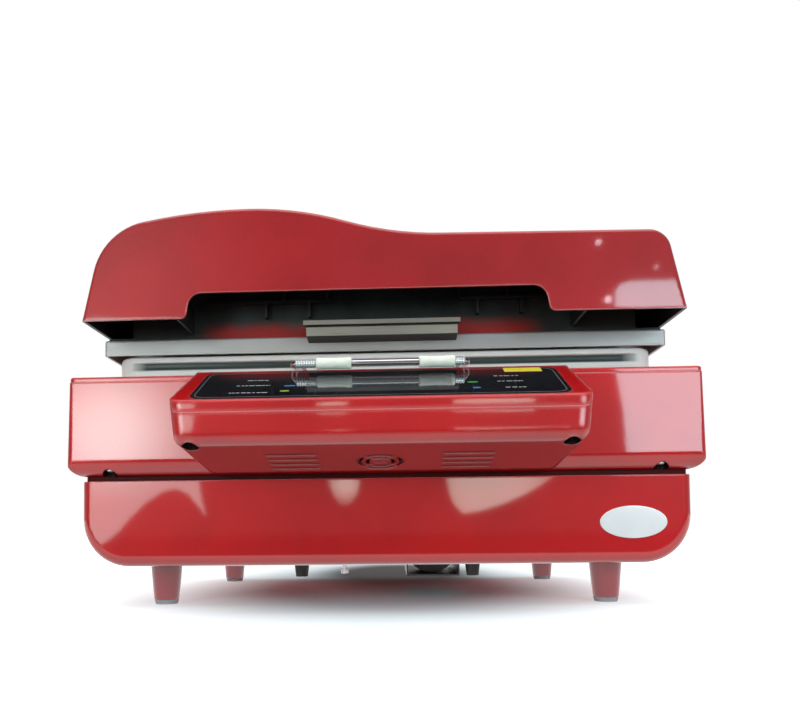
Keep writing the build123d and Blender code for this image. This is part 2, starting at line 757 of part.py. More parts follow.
rocker_tilt = math.radians(rocker_travel / 2)
rocker_plane = Plane(switch_bore.origin, x_dir=(0, math.cos(rocker_tilt), -math.sin(rocker_tilt)),
                     z_dir=(1, 0, 0))
with BuildPart() as power_rocker:
    with BuildSketch(rocker_plane.offset(-rocker_width / 2)):
        Circle(rocker_radius)
        with BuildLine():
            Polyline((rocker_dish, 0), (rocker_dish + 3.5, 20), (30, 20), (30, -20),
                     (rocker_dish + 3.5, -20), close=True)
        make_face(mode=Mode.SUBTRACT)
    extrude(amount=rocker_width)
    with BuildSketch(switch_bore):
        Circle(rocker_pin / 2)
    extrude(amount=rocker_width / 2 + 1.5, both=True)
save(power_rocker, "power_rocker")

with BuildPart() as fuse_holder:
    with BuildSketch(facing_front(lower_back + 8)):
        with Locations((fuse_x, rear_panel_z)):
            Circle(7)
    extrude(amount=5)
    with BuildSketch(facing_front(lower_back + 3)):
        with Locations((fuse_x, rear_panel_z)):
            Circle(9)
    extrude(amount=3)
    with BuildSketch(facing_front(lower_back)):
        with Locations((fuse_x, rear_panel_z)):
            Circle(6)
    extrude(amount=28)
    with BuildSketch(facing_front(lower_back + 8)):
        with Locations((fuse_x, rear_panel_z)):
            Rectangle(9, 1.6)
    extrude(amount=1.5, mode=Mode.SUBTRACT)
save(fuse_holder, "fuse_holder")

# =========================== vacuum and electrics ===========================
cradle_floor = foot_height - cradle_drop
motor_z = cradle_floor + cradle_gauge + 0.5 + motor_diameter / 2

with BuildPart() as pump_cradle:
    with BuildSketch(facing_front(cradle_length / 2)):
        with Locations((pump_x, foot_height - cradle_drop / 2)):
            Rectangle(cradle_width, cradle_drop)
        with Locations((pump_x, foot_height - cradle_gauge / 2)):
            Rectangle(cradle_width + 2 * cradle_flange, cradle_gauge)
        with Locations((pump_x, foot_height - cradle_drop / 2 + cradle_gauge)):
            Rectangle(cradle_width - 2 * cradle_gauge, cradle_drop, mode=Mode.SUBTRACT)
    extrude(amount=cradle_length)
save(pump_cradle, "pump_cradle")

with BuildPart() as pump_motor:
    with BuildSketch(facing_front(motor_length / 2)):
        with Locations((pump_x, motor_z)):
            Circle(motor_diameter / 2)
    extrude(amount=motor_length)
    with BuildSketch(Plane((pump_x, 0, motor_z))):
        RectangleRounded(32, 40, 3)
    extrude(amount=motor_diameter / 2 + 9)
save(pump_motor, "pump_motor")

crank_x, crank_y, crank_z = crank_size
with BuildPart() as pump_heads:
    for side in (-1, 1):
        head_y = side * (motor_length + crank_y) / 2
        with BuildSketch(Plane((pump_x, head_y, chassis_top + bar_height))):
            RectangleRounded(crank_x, crank_y, 3)
        extrude(amount=crank_z)
        with BuildSketch(Plane((pump_x, head_y, chassis_top + bar_height + crank_z))):
            Circle(crank_y / 2 - 3)
        extrude(amount=cylinder_height)
        for fin in range(3):
            with BuildSketch(Plane((pump_x, head_y, chassis_top + bar_height + crank_z + 3 + 6 * fin))):
                Rectangle(crank_y + 4, crank_y + 2)
            extrude(amount=2)
        with BuildSketch(Plane((pump_x, head_y, chassis_top + bar_height + crank_z + cylinder_height))):
            Circle(port_diameter / 2)
        extrude(amount=6)
save(pump_heads, "pump_heads")
head_top = chassis_top + bar_height + crank_z + cylinder_height + 6
head_back_y = (motor_length + crank_y) / 2

with BuildPart() as pump_bars:
    for side in (-1, 1):
        with BuildSketch(Plane((0, side * (motor_length / 2 + crank_y - bar_width / 2 + 4), chassis_top))):
            RectangleRounded(mount_xs[1] - mount_xs[0] + 24, bar_width, 3)
        extrude(amount=bar_height)
save(pump_bars, "pump_bars")

mount_y = -(motor_length / 2 + crank_y - bar_width / 2 + 4)
with BuildPart() as pump_mounts:
    with Locations(*[(mount_x, mount_y, foot_height - mount_drop) for mount_x in mount_xs]):
        Cone(mount_tip / 2, mount_diameter / 2, mount_drop, align=standing)
save(pump_mounts, "pump_mounts")

with BuildPart() as drain_screw:
    for radius, drop, length in ((5, 3, 3), (2, 10, 7), (4, 14, 4)):
        with BuildSketch(Plane((drain_x, mount_y, foot_height - drop))):
            Circle(radius)
        extrude(amount=length)
save(drain_screw, "drain_screw")

with BuildPart() as release_valve:
    with BuildSketch(facing_left(pump_x + crank_x / 2)):
        with Locations((head_back_y, chassis_top + bar_height + crank_z / 2)):
            RectangleRounded(24, 24, 3)
    extrude(amount=12)
    with BuildSketch(facing_left(pump_x + crank_x / 2 + 12)):
        with Locations((head_back_y, chassis_top + bar_height + crank_z / 2)):
            Circle(11)
    extrude(amount=22)
save(release_valve, "release_valve")

port_low = deck_top - chamber_drop - 12
hose_level = (port_low + head_top) / 2
with BuildPart() as vacuum_hose:
    with BuildLine() as hose_route:
        FilletPolyline((0, chamber_y, port_low), (0, chamber_y, hose_level),
                       (pump_x, head_back_y, hose_level), (pump_x, head_back_y, head_top), radius=11)
    with BuildSketch(Plane((0, chamber_y, port_low), z_dir=(0, 0, -1))):
        Circle(hose_diameter / 2)
    sweep()
save(vacuum_hose, "vacuum_hose")

with BuildPart() as power_board:
    with BuildSketch(Plane((-130, 130, chassis_top))):
        with GridLocations(108, 78, 2, 2):
            Circle(3)
    extrude(amount=6)
    with BuildSketch(Plane((-130, 130, chassis_top + 6))):
        RectangleRounded(120, 90, 3)
    extrude(amount=1.6)
    with BuildSketch(Plane((-155, 135, chassis_top + 7.6))):
        Rectangle(46, 40)
    extrude(amount=36)
    with BuildSketch(Plane((-105, 110, chassis_top + 7.6))):
        with GridLocations(26, 0, 2, 1):
            Circle(9)
    extrude(amount=26)
save(power_board, "power_board")

with BuildPart() as heat_sink:
    with BuildSketch(facing_front(-20)):
        with Locations((170, chassis_top + 3)):
            Rectangle(84, 6)
        with Locations((170, chassis_top + 18)):
            with GridLocations(14, 0, 6, 1):
                Rectangle(2.4, 30)
    extrude(amount=80)
save(heat_sink, "heat_sink")

with BuildPart() as solid_state_relay:
    with BuildSketch(Plane((170, 20, chassis_top))):
        RectangleRounded(60, 45, 3)
    extrude(amount=24)
save(solid_state_relay, "solid_state_relay")

# =========================== membrane frame ===========================
frame_mid_y = (frame_front + frame_back) / 2
frame_depth = frame_back - frame_front
frame_bottom = deck_top + frame_lift


def frame_ring(outer_inset, inner_inset, low, height):
    """A rounded rectangular ring of the membrane frame, both edges inset from its outline."""
    with BuildPart() as ring:
        with BuildSketch(Plane((0, frame_mid_y, low))):
            RectangleRounded(frame_width - 2 * outer_inset, frame_depth - 2 * outer_inset,
                             max(frame_corner - outer_inset, 4))
            RectangleRounded(frame_width - 2 * inner_inset, frame_depth - 2 * inner_inset,
                             max(frame_corner - inner_inset, 3), mode=Mode.SUBTRACT)
        extrude(amount=height)
    return ring.part


rail_low = frame_bottom + clamp_height + sheet_gauge
rail_high = frame_bottom + frame_height - seal_lip
seal_wall_ring = frame_ring(0, seal_wall, frame_bottom, frame_height)
seal_lip_ring = frame_ring(seal_wall - 1, seal_lip_reach, rail_high, seal_lip)
groove_bottom = frame_bottom + groove_low
groove_top = frame_bottom + frame_height - groove_high
groove_mid = (groove_bottom + groove_top) / 2

with BuildPart() as membrane_seal:
    add(seal_wall_ring)
    add(seal_lip_ring)
    outer_edges = membrane_seal.faces().sort_by(Axis.Z)[0].outer_wire().edges()
    fillet(outer_edges, seal_edge)
    outer_edges = membrane_seal.faces().sort_by(Axis.Z)[-1].outer_wire().edges()
    fillet(outer_edges, seal_edge)
    with BuildSketch(facing_front(frame_mid_y)):
        with Locations((0, groove_mid)):
            SlotOverall(frame_width - 2 * groove_end, groove_top - groove_bottom)
    extrude(amount=frame_depth, both=True, mode=Mode.SUBTRACT)
save(membrane_seal, "membrane_seal")

with BuildPart() as clamp_ring:
    add(frame_ring(seal_wall, seal_wall + clamp_band, frame_bottom, clamp_height))
save(clamp_ring, "clamp_ring")

with BuildPart() as silicone_membrane:
    with BuildSketch(Plane((0, frame_mid_y, frame_bottom + clamp_height))):
        RectangleRounded(frame_width - 2 * seal_wall, frame_depth - 2 * seal_wall,
                         frame_corner - seal_wall)
    extrude(amount=sheet_gauge)
save(silicone_membrane, "silicone_membrane")

with BuildPart() as membrane_rail:
    add(frame_ring(seal_wall, seal_wall + rail_band, rail_low, rail_high - rail_low))
save(membrane_rail, "membrane_rail")

rail_front = frame_front + seal_wall
bar_y = body_front - handle_ahead
with BuildPart() as membrane_handle:
    with BuildLine() as handle_route:
        FilletPolyline((-handle_span / 2, rail_front, handle_root_z),
                       (-handle_span / 2, bar_y, handle_bar_z),
                       (handle_span / 2, bar_y, handle_bar_z),
                       (handle_span / 2, rail_front, handle_root_z), radius=handle_bend)
    with BuildSketch(Plane(handle_route.line @ 0, z_dir=handle_route.line % 0)):
        Circle(handle_rod / 2)
    sweep()
    with BuildSketch(facing_front(rail_front + 4)):
        with Locations((-handle_span / 2, handle_root_z), (handle_span / 2, handle_root_z)):
            Circle(handle_rod / 2 + 2)
    extrude(amount=10)
    add(membrane_rail.part, mode=Mode.SUBTRACT)
save(membrane_handle, "membrane_handle")

for name, sleeve_x in sleeve_places.items():
    with BuildPart() as sleeve:
        with BuildSketch(facing_left(sleeve_x - sleeve_length / 2)):
            with Locations((bar_y, handle_bar_z)):
                Circle(sleeve_diameter / 2)
                Circle(handle_rod / 2 + shaft_gap, mode=Mode.SUBTRACT)
        extrude(amount=sleeve_length)
    save(sleeve, f"handle_sleeve_{name}")

# =========================== hinge ===========================
with BuildPart() as hinge_brackets:
    for side in (-1, 1):
        for hand in (-1, 1):
            cheek_x = side * hinge_station + hand * (cheek_gap + cheek_thickness) / 2
            with BuildSketch(facing_left(cheek_x - cheek_thickness / 2)):
                with Locations((hinge_y, hinge_z)):
                    Circle(cheek_radius)
                with BuildLine():
                    Polyline((bracket_front, deck_top), (bracket_back, deck_top),
                             (hinge_y + cheek_radius, hinge_z), (hinge_y - cheek_radius, hinge_z),
                             close=True)
                make_face()
                with Locations((hinge_y, hinge_z)):
                    Circle(hinge_rod / 2, mode=Mode.SUBTRACT)
            extrude(amount=cheek_thickness)
        with BuildSketch(Plane((side * hinge_station, (bracket_front + bracket_back) / 2, deck_top))):
            RectangleRounded(cheek_gap + 2 * cheek_thickness + 24, bracket_back - bracket_front, 3)
        extrude(amount=bracket_gauge)
save(hinge_brackets, "hinge_brackets")

with BuildPart() as hinge_rod_part:
    with BuildSketch(facing_left(-hinge_rod_length / 2)):
        with Locations((hinge_y, hinge_z)):
            Circle(hinge_rod / 2)
    extrude(amount=hinge_rod_length)
save(hinge_rod_part, "hinge_rod")

knuckle_bore = hinge_rod / 2 + shaft_gap
with BuildPart() as frame_ears:
    for side in (-1, 1):
        with BuildSketch(facing_left(side * (hinge_station - knuckle_offset) - knuckle_width / 2)):
            with Locations((hinge_y, hinge_z)):
                Circle(knuckle_radius)
            with BuildLine():
                Polyline((frame_back - seal_wall, groove_bottom + 1), (hinge_y, hinge_z - knuckle_radius),
                         (hinge_y, hinge_z + knuckle_radius), (frame_back - seal_wall, groove_top - 2.5),
                         close=True)
            make_face()
            with Locations((hinge_y, hinge_z)):
                Circle(knuckle_bore, mode=Mode.SUBTRACT)
        extrude(amount=knuckle_width)
save(frame_ears, "frame_ears")

# =========================== heater lid ===========================
tray_mid_y = (tray_front + tray_back) / 2
heat_y = chamber_y
hood_depth = hood_back - body_front


def hood_outline(inset):
    """The hood seen from the front, or its cavity, carried below the rim so that the rim cuts clean."""
    rim_half = hood_rim_width / 2
    lean = (rim_half + shoulder[0]) / (shoulder[1] - rim_z)
    foot_half = rim_half + lean * hood_skirt
    fall = (plateau_end[1] - plateau_start[1]) / (plateau_end[0] - plateau_start[0])
    corner_x = (rim_half - lean * (plateau_start[1] - rim_z - fall * plateau_start[0])) / (1 + lean * fall)
    corner = (corner_x, plateau_start[1] + fall * (corner_x - plateau_start[0]))
    saddle = ((peak[0] + plateau_start[0]) / 2, (peak[1] + plateau_start[1]) / 2)
    with BuildSketch() as outline:
        with BuildLine():
            Line((-foot_half, rim_z - hood_skirt), shoulder)
            TangentArc(peak, shoulder, tangent=(-1, 0))
            brow = TangentArc(peak, saddle, tangent=(1, 0))
            TangentArc(saddle, plateau_start, tangent=brow % 1)
            Line(plateau_start, corner)
            Line(corner, (foot_half, rim_z - hood_skirt))
            Line((foot_half, rim_z - hood_skirt), (-foot_half, rim_z - hood_skirt))
        make_face()
        fillet(outline.vertices().sort_by_distance(corner)[0], hood_corner)
        fillet(outline.vertices().sort_by_distance(shoulder)[0], shoulder_radius)
        if inset:
            offset(amount=-inset)
    return outline.sketch


hood_profile = hood_outline(0)
hood_cavity_profile = hood_outline(wall)

with BuildPart() as hood_skin:
    with BuildSketch(facing_front(hood_back)):
        add(hood_profile)
    extrude(amount=hood_depth)
    split(bisect_by=Plane.XY.offset(rim_z), keep=Keep.TOP)
    for end in (0, -1):
        rim_edges = hood_skin.faces().sort_by(Axis.Y)[end].edges().sort_by(Axis.Z)[1:]
        fillet(rim_edges, hood_edge)

with BuildPart() as lid_shell:
    add(hood_skin.part)
    with BuildSketch(facing_front(hood_back - wall)):
        add(hood_cavity_profile)
    extrude(amount=hood_depth - 2 * wall, mode=Mode.SUBTRACT)
    # stepped hand notch in the front wall
    with BuildSketch(facing_front(body_front + wall + 1)) as notch:
        with BuildLine():
            Polyline((notch_left[0] - 20, rim_z - 8), (notch_left[0] - 20, rim_z), (notch_left[0], rim_z),
                     (notch_left[1], notch_top), (notch_right[1], notch_top), (notch_right[0], rim_z),
                     (notch_right[0] + 20, rim_z), (notch_right[0] + 20, rim_z - 8), close=True)
        make_face()
        top_corners = notch.vertices().group_by(Axis.Y)[-1]
        fillet(top_corners, notch_corner)
        for corner_x in (notch_left[0], notch_right[0]):
            fillet(notch.vertices().sort_by_distance((corner_x, rim_z))[0], notch_flare)
    extrude(amount=wall + 2, mode=Mode.SUBTRACT)
    # ribs from the front wall to the inner pan, and bosses from the roof down to it
    with BuildSketch(Plane.XY.offset(rim_z)):
        for rib in (-rib_x, rib_x):
            with Locations((rib, (body_front + wall + tray_front + pan_wall) / 2)):
                Rectangle(rib_thickness, tray_front + pan_wall - body_front - wall)
    extrude(amount=26)
    with BuildSketch(Plane.XY.offset(pan_top)):
        for boss_x in (-180, 0, 180):
            with Locations((boss_x, -80), (boss_x, 190)):
                Circle(7)
    extrude(amount=60)
    add(hood_skin.part, mode=Mode.INTERSECT)
save(lid_shell, "lid_shell")

with BuildPart() as heater_tray:
    with BuildSketch(Plane((0, tray_mid_y, tray_z))):
        RectangleRounded(tray_width, tray_back - tray_front, 3)
    extrude(amount=tray_height)
    fillet(heater_tray.faces().sort_by(Axis.Z)[-1].edges(), 2)
    with BuildSketch(Plane((0, tray_mid_y, tray_z))):
        RectangleRounded(tray_width - 2 * tray_wall, tray_back - tray_front - 2 * tray_wall, 2)
    extrude(amount=tray_height - tray_wall, mode=Mode.SUBTRACT)
    with BuildSketch(Plane((0, heat_y, tray_z))):
        RectangleRounded(heat_width + 2 * tray_wall, heat_depth + 2 * tray_wall, 12)
    extrude(amount=tray_height)
    with BuildSketch(Plane((0, heat_y, tray_z))):
        RectangleRounded(heat_width, heat_depth, 10)
    extrude(amount=tray_height, mode=Mode.SUBTRACT)
save(heater_tray, "heater_tray")

pan_back = tray_back - 2
pan_mid_y = (tray_front + pan_wall + pan_back) / 2
pan_depth = pan_back - tray_front - pan_wall
with BuildPart() as lid_inner_wall:
    with BuildSketch(Plane((0, pan_mid_y, tray_top))):
        Rectangle(2 * pan_flange, pan_depth)
    extrude(amount=pan_wall)
    with BuildSketch(Plane((0, pan_mid_y, tray_top))):
        RectangleRounded(2 * pan_half_width, pan_depth, 6)
    extrude(amount=pan_top - tray_top)
    with BuildSketch(Plane((0, pan_mid_y, tray_top))):
        RectangleRounded(2 * (pan_half_width - pan_wall), pan_depth - 2 * pan_wall, 4)
    extrude(amount=pan_top - tray_top - pan_wall, mode=Mode.SUBTRACT)
    # stiffening ribs seen through the notch
    with BuildSketch(facing_front(tray_front + pan_wall)):
        for low_x, high_x in pan_ribs:
            with Locations(((low_x + high_x) / 2, rim_z + pan_rib_rise)):
                Rectangle(high_x - low_x, 2.5)
        for post_xs, lift in ((pan_posts_above, pan_post_height / 2), (pan_posts_below, -pan_post_height / 2)):
            with Locations(*[(post_x, rim_z + pan_rib_rise + lift) for post_x in post_xs]):
                Rectangle(2.5, pan_post_height)
    extrude(amount=pan_rib_reach)
save(lid_inner_wall, "lid_inner_wall")

mat_top = pan_top - pan_wall
with BuildPart() as insulation_mat:
    with BuildSketch(Plane((0, heat_y, mat_top - mat_thickness))):
        Rectangle(heat_width, heat_depth)
    extrude(amount=mat_thickness)
save(insulation_mat, "insulation_mat")

reflector_top = mat_top - mat_thickness
with BuildPart() as reflector:
    with BuildSketch(Plane((0, heat_y, reflector_top - reflector_depth))):
        Rectangle(heat_width, heat_depth)
    extrude(amount=reflector_depth)
    with BuildSketch(Plane((0, heat_y, reflector_top - reflector_depth))):
        Rectangle(heat_width - 2 * reflector_gauge, heat_depth - 2 * reflector_gauge)
    extrude(amount=reflector_depth - reflector_gauge, mode=Mode.SUBTRACT)
save(reflector, "reflector")

tube_length = heat_width - 2 * reflector_gauge - 12
tube_ys = [heat_y + tube_pitch * (index - (tube_count - 1) / 2) for index in range(tube_count)]
holder_x = heat_width / 2 - reflector_gauge - holder_width / 2
holder_top = reflector_top - reflector_gauge
with BuildPart() as tube_holders:
    for side in (-1, 1):
        with BuildSketch(facing_left(side * holder_x - holder_width / 2)):
            with Locations((heat_y, holder_top - holder_height / 2)):
                Rectangle(heat_depth - 2 * reflector_gauge - 2, holder_height)
            with Locations(*[(tube_y, tube_z) for tube_y in tube_ys]):
                Circle(tube_diameter / 2 + tube_gap, mode=Mode.SUBTRACT)
        extrude(amount=holder_width)
save(tube_holders, "tube_holders")

with BuildPart() as heater_tubes:
    with BuildSketch(facing_left(-tube_length / 2)):
        with Locations(*[(tube_y, tube_z) for tube_y in tube_ys]):
            Circle(tube_diameter / 2)
    extrude(amount=tube_length)
save(heater_tubes, "heater_tubes")

guard_top = holder_top - holder_height
with BuildPart() as guard_grille:
    with BuildSketch(Plane((0, heat_y, guard_top - guard_gauge))):
        Rectangle(heat_width - 2, heat_depth - 2)
        with GridLocations(guard_pitch_x, guard_pitch_y, 9, 6):
            Rectangle(guard_pitch_x - guard_gauge, guard_pitch_y - guard_gauge, mode=Mode.SUBTRACT)
    extrude(amount=guard_gauge)
save(guard_grille, "guard_grille")

with BuildPart() as thermostat:
    with BuildSketch(Plane((0, heat_y, holder_top - 8))):
        Circle(8)
    extrude(amount=8)
save(thermostat, "thermostat")

with BuildPart() as lid_handle:
    for profile, length in ((lid_handle_profile, lid_handle_width), (lid_lip_profile, lid_lip_width)):
        with BuildSketch(facing_left(lid_handle_x - length / 2)):
            with BuildLine():
                Polyline(*[(tray_front + forward, tray_z + up) for forward, up in profile], close=True)
            make_face()
        extrude(amount=length)
save(lid_handle, "lid_handle")

with BuildPart() as lid_arms:
    for side in (-1, 1):
        with BuildSketch(facing_left(side * (hinge_station + knuckle_offset) - knuckle_width / 2)):
            with BuildLine():
                Polyline((tray_back, tray_z + 2), (hinge_y - 11.5, tray_z + 2),
                         (hinge_y - knuckle_radius, hinge_z), (hinge_y + knuckle_radius, hinge_z),
                         (hinge_y + 7, tray_top - 9), (hinge_y - 6, tray_top), (tray_back, tray_top),
                         close=True)
            make_face()
            with Locations((hinge_y, hinge_z)):
                Circle(knuckle_radius)
                Circle(knuckle_bore, mode=Mode.SUBTRACT)
        extrude(amount=knuckle_width)
save(lid_arms, "lid_arms")

# =========================== corner screws in their wells ===========================
with BuildPart() as housing_screws:
    for places, well_top in ((well_places, upper_bottom + recess_depth),
                             (control_wells, control_well_z + recess_depth)):
        with BuildSketch(Plane.XY.offset(well_top - screw_head_height)):
            with Locations(*places):
                Circle(screw_head / 2)
        extrude(amount=screw_head_height)
save(housing_screws, "housing_screws")
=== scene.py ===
import math
import random

import bmesh
import bpy
from mathutils import Matrix, Vector


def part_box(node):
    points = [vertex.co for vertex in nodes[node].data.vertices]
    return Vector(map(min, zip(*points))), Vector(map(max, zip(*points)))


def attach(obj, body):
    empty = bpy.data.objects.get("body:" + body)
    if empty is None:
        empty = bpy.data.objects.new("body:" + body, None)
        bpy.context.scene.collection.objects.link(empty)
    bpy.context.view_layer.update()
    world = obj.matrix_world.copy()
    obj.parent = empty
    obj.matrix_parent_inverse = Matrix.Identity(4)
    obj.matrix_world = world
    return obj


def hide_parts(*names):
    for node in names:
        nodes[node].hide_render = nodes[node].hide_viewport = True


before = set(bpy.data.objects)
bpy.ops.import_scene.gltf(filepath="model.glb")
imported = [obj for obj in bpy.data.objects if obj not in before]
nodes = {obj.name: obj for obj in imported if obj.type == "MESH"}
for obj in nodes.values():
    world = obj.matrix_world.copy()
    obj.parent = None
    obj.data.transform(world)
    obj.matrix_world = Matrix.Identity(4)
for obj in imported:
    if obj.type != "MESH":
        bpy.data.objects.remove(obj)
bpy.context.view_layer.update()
mm = 0.001
print("stage: frame loaded,", len(nodes), "CAD nodes")


# sRGB hex to the linear values that sockets take
def toLinear(hexColour):
    parts = [int(hexColour[i:i + 2], 16) / 255 for i in (1, 3, 5)]
    return [c / 12.92 if c <= 0.04045 else ((c + 0.055) / 1.055) ** 2.4 for c in parts] + [1.0]


# one node with its settings and links; "stops" are a ramp's places and colours, and a link may be a plain value
def addNode(tree, kind, settings=None, links=None):
    node = tree.nodes.new(kind)
    for key, value in (settings or {}).items():
        if key == "stops":
            for element, (at, colour) in zip(node.color_ramp.elements, value):
                element.position, element.color = at, toLinear(colour)
        elif isinstance(key, str) and hasattr(node, key):
            setattr(node, key, value)
        else:
            node.inputs[key].default_value = value
    for key, source in (links or {}).items():
        if hasattr(source, "is_linked"):
            tree.links.new(source, node.inputs[key])
        else:
            node.inputs[key].default_value = source
    return node


def newMaterial(name):
    material = bpy.data.materials.new(name)
    material.use_nodes = True
    tree = material.node_tree
    tree.nodes.clear()
    output = addNode(tree, "ShaderNodeOutputMaterial")
    place = addNode(tree, "ShaderNodeTexCoord")
    return material, tree, output, place


# how far a point is from a place in a plane, from its two offsets
def planeDistance(tree, across, along):
    squared = addNode(tree, "ShaderNodeMath", {"operation": "MULTIPLY"}, {0: along, 1: along}).outputs[0]
    return addNode(tree, "ShaderNodeMath", {"operation": "SQRT"},
                   {0: addNode(tree, "ShaderNodeMath", {"operation": "MULTIPLY_ADD"},
                               {0: across, 1: across, 2: squared}).outputs[0]}).outputs[0]


# 1 between low and high, fading to 0 over soft on either side
def smoothBand(tree, source, low, high, soft):
    rise = addNode(tree, "ShaderNodeMapRange", {"interpolation_type": "SMOOTHSTEP", 1: low - soft, 2: low + soft},
                   {0: source})
    fall = addNode(tree, "ShaderNodeMapRange", {"interpolation_type": "SMOOTHSTEP", 1: high - soft, 2: high + soft,
                                                3: 1.0, 4: 0.0}, {0: source})
    return addNode(tree, "ShaderNodeMath", {"operation": "MULTIPLY"},
                   {0: rise.outputs[0], 1: fall.outputs[0]}).outputs[0]


def meshPiece(name, points, faces, material, body=None, smooth=True):
    mesh = bpy.data.meshes.new(name)
    mesh.from_pydata([tuple(p) for p in points], [], faces)
    mesh.validate()
    tidy = bmesh.new()
    tidy.from_mesh(mesh)
    bmesh.ops.recalc_face_normals(tidy, faces=tidy.faces)
    tidy.to_mesh(mesh)
    tidy.free()
    for polygon in mesh.polygons:
        polygon.use_smooth = smooth
    piece = bpy.data.objects.new(name, mesh)
    bpy.context.scene.collection.objects.link(piece)
    mesh.materials.append(material)
    if body:
        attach(piece, body)
    return piece


def joinPieces(pieces, name):
    bpy.ops.object.select_all(action="DESELECT")
    for piece in pieces:
        piece.select_set(True)
    bpy.context.view_layer.objects.active = pieces[0]
    bpy.ops.object.join()
    pieces[0].name = name
    return pieces[0]


def applyModifiers(piece):
    graph = bpy.context.evaluated_depsgraph_get()
    finished = bpy.data.meshes.new_from_object(piece.evaluated_get(graph))
    piece.modifiers.clear()
    piece.data = finished
    return piece


def sharpByAngle(piece, degrees=35):
    piece.data.set_sharp_from_angle(angle=math.radians(degrees))


lacquer = {
    "deep": "#C3080E",
    "bright": "#D20C12",
    "flake": "#C43A40",
    "shine": 0.13,
    "spread": 0.4,
    "flakeSize": 0.9 * mm,     # a real flake is 0.05 mm; drawn coarser so that it shows at all
    "cloudSize": 90 * mm,
    "peelSize": 3.0 * mm,
    "peelDepth": 0.004 * mm,
    "edgeRadius": 1.1 * mm,    # moulded edges are eased, and a pale pink painted highlight is mixed in along them
    # colour of the painted highlight along eased edges
    "edge": "#D98A88",
    "flow": 2.2 * mm,          # the clear coat flows round edges in a softer curve than the moulding
    "coatRoughness": 0.045,
    # screw wells painted near-black with the coat taken off, as painted shade in the recesses: places of the upper and
    # control housings' wells, and their radius
    "wells": ((260 * mm, -186 * mm), (160 * mm, -270 * mm)), "wellRadius": 7.25 * mm,
    "wellLow": 126.5 * mm, "wellTop": 170 * mm,
    # near-black painted shade inside the screw wells
    "darkInside": "#1E0709",
}


def lacquerNodes(tree, place, values):
    cloud = addNode(tree, "ShaderNodeTexNoise", {"Scale": 1 / values["cloudSize"], "Detail": 3.0}, {"Vector": place})
    base = addNode(tree, "ShaderNodeValToRGB", {"stops": [(0.35, values["deep"]), (0.65, values["bright"])]},
                   {0: cloud.outputs[0]})
    cells = addNode(tree, "ShaderNodeTexVoronoi", {"Scale": 1 / values["flakeSize"]}, {"Vector": place})
    grey = addNode(tree, "ShaderNodeSeparateColor", links={0: cells.outputs["Color"]})
    glint = addNode(tree, "ShaderNodeMapRange", {1: 0.85, 2: 1.0, 3: 0.0, 4: 0.2}, {0: grey.outputs[0]})
    colour = addNode(tree, "ShaderNodeMix", {"data_type": "RGBA"},
                     {0: glint.outputs[0], 6: base.outputs[0], 7: toLinear(values["flake"])}).outputs[2]
    eased = addNode(tree, "ShaderNodeBevel", {"samples": 6, "Radius": values["edgeRadius"]})
    shape = addNode(tree, "ShaderNodeNewGeometry")
    turn = addNode(tree, "ShaderNodeVectorMath", {"operation": "DOT_PRODUCT"},
                   {0: eased.outputs[0], 1: shape.outputs["Normal"]})
    # painted highlight: pale pink mixed in where the eased normal turns away from the true one
    paintedEdgeHighlight = addNode(tree, "ShaderNodeMapRange", {1: 0.995, 2: 0.86, 3: 0.0, 4: 0.6}, {0: turn.outputs["Value"]})
    colour = addNode(tree, "ShaderNodeMix", {"data_type": "RGBA"},
                     {0: paintedEdgeHighlight.outputs[0], 6: colour, 7: toLinear(values["edge"])}).outputs[2]
    spot = addNode(tree, "ShaderNodeSeparateXYZ", links={0: place})
    width = addNode(tree, "ShaderNodeMath", {"operation": "ABSOLUTE"}, {0: spot.outputs[0]}).outputs[0]
    gaps = []
    for wellX, wellY in values["wells"]:
        acrossWell = addNode(tree, "ShaderNodeMath", {"operation": "SUBTRACT"}, {0: width, 1: wellX}).outputs[0]
        alongWell = addNode(tree, "ShaderNodeMath", {"operation": "SUBTRACT"},
                            {0: spot.outputs[1], 1: wellY}).outputs[0]
        gaps.append(planeDistance(tree, acrossWell, alongWell))
    # painted shade: inside the screw wells the lacquer turns near-black and loses its coat
    wellShadeMask = addNode(tree, "ShaderNodeMath", {"operation": "LESS_THAN"},
                     {0: addNode(tree, "ShaderNodeMath", {"operation": "MINIMUM"},
                                 {0: gaps[0], 1: gaps[1]}).outputs[0], 1: values["wellRadius"]}).outputs[0]
    wellShadeMask = addNode(tree, "ShaderNodeMath", {"operation": "MULTIPLY"},
                     {0: wellShadeMask,
                      1: addNode(tree, "ShaderNodeMath", {"operation": "LESS_THAN"},
                                 {0: spot.outputs[2], 1: values["wellTop"]}).outputs[0]}).outputs[0]
    wellShadeMask = addNode(tree, "ShaderNodeMath", {"operation": "MULTIPLY"},
                     {0: wellShadeMask,
                      1: addNode(tree, "ShaderNodeMath", {"operation": "GREATER_THAN"},
                                 {0: spot.outputs[2], 1: values["wellLow"]}).outputs[0]}).outputs[0]
    colour = addNode(tree, "ShaderNodeMix", {"data_type": "RGBA"},
                     {0: wellShadeMask, 6: colour, 7: toLinear(values["darkInside"])}).outputs[2]
    coated = addNode(tree, "ShaderNodeMath", {"operation": "SUBTRACT"}, {0: 1.0, 1: wellShadeMask}).outputs[0]
    flowing = addNode(tree, "ShaderNodeBevel", {"samples": 6, "Radius": values["flow"]})
    peel = addNode(tree, "ShaderNodeTexNoise", {"Scale": 1 / values["peelSize"], "Detail": 1.0}, {"Vector": place})
    waves = addNode(tree, "ShaderNodeBump", {"Strength": 1.0, "Distance": values["peelDepth"]},
                    {"Height": peel.outputs[0], "Normal": flowing.outputs[0]})
    return addNode(tree, "ShaderNodeBsdfPrincipled",
                   {"Metallic": values["shine"], "Roughness": values["spread"], "Specular IOR Level": 0.15,
                    "Coat Roughness": values["coatRoughness"], "Coat IOR": 1.62},
                   {"Base Color": colour, "Coat Weight": coated, "Coat Normal": waves.outputs[0]})


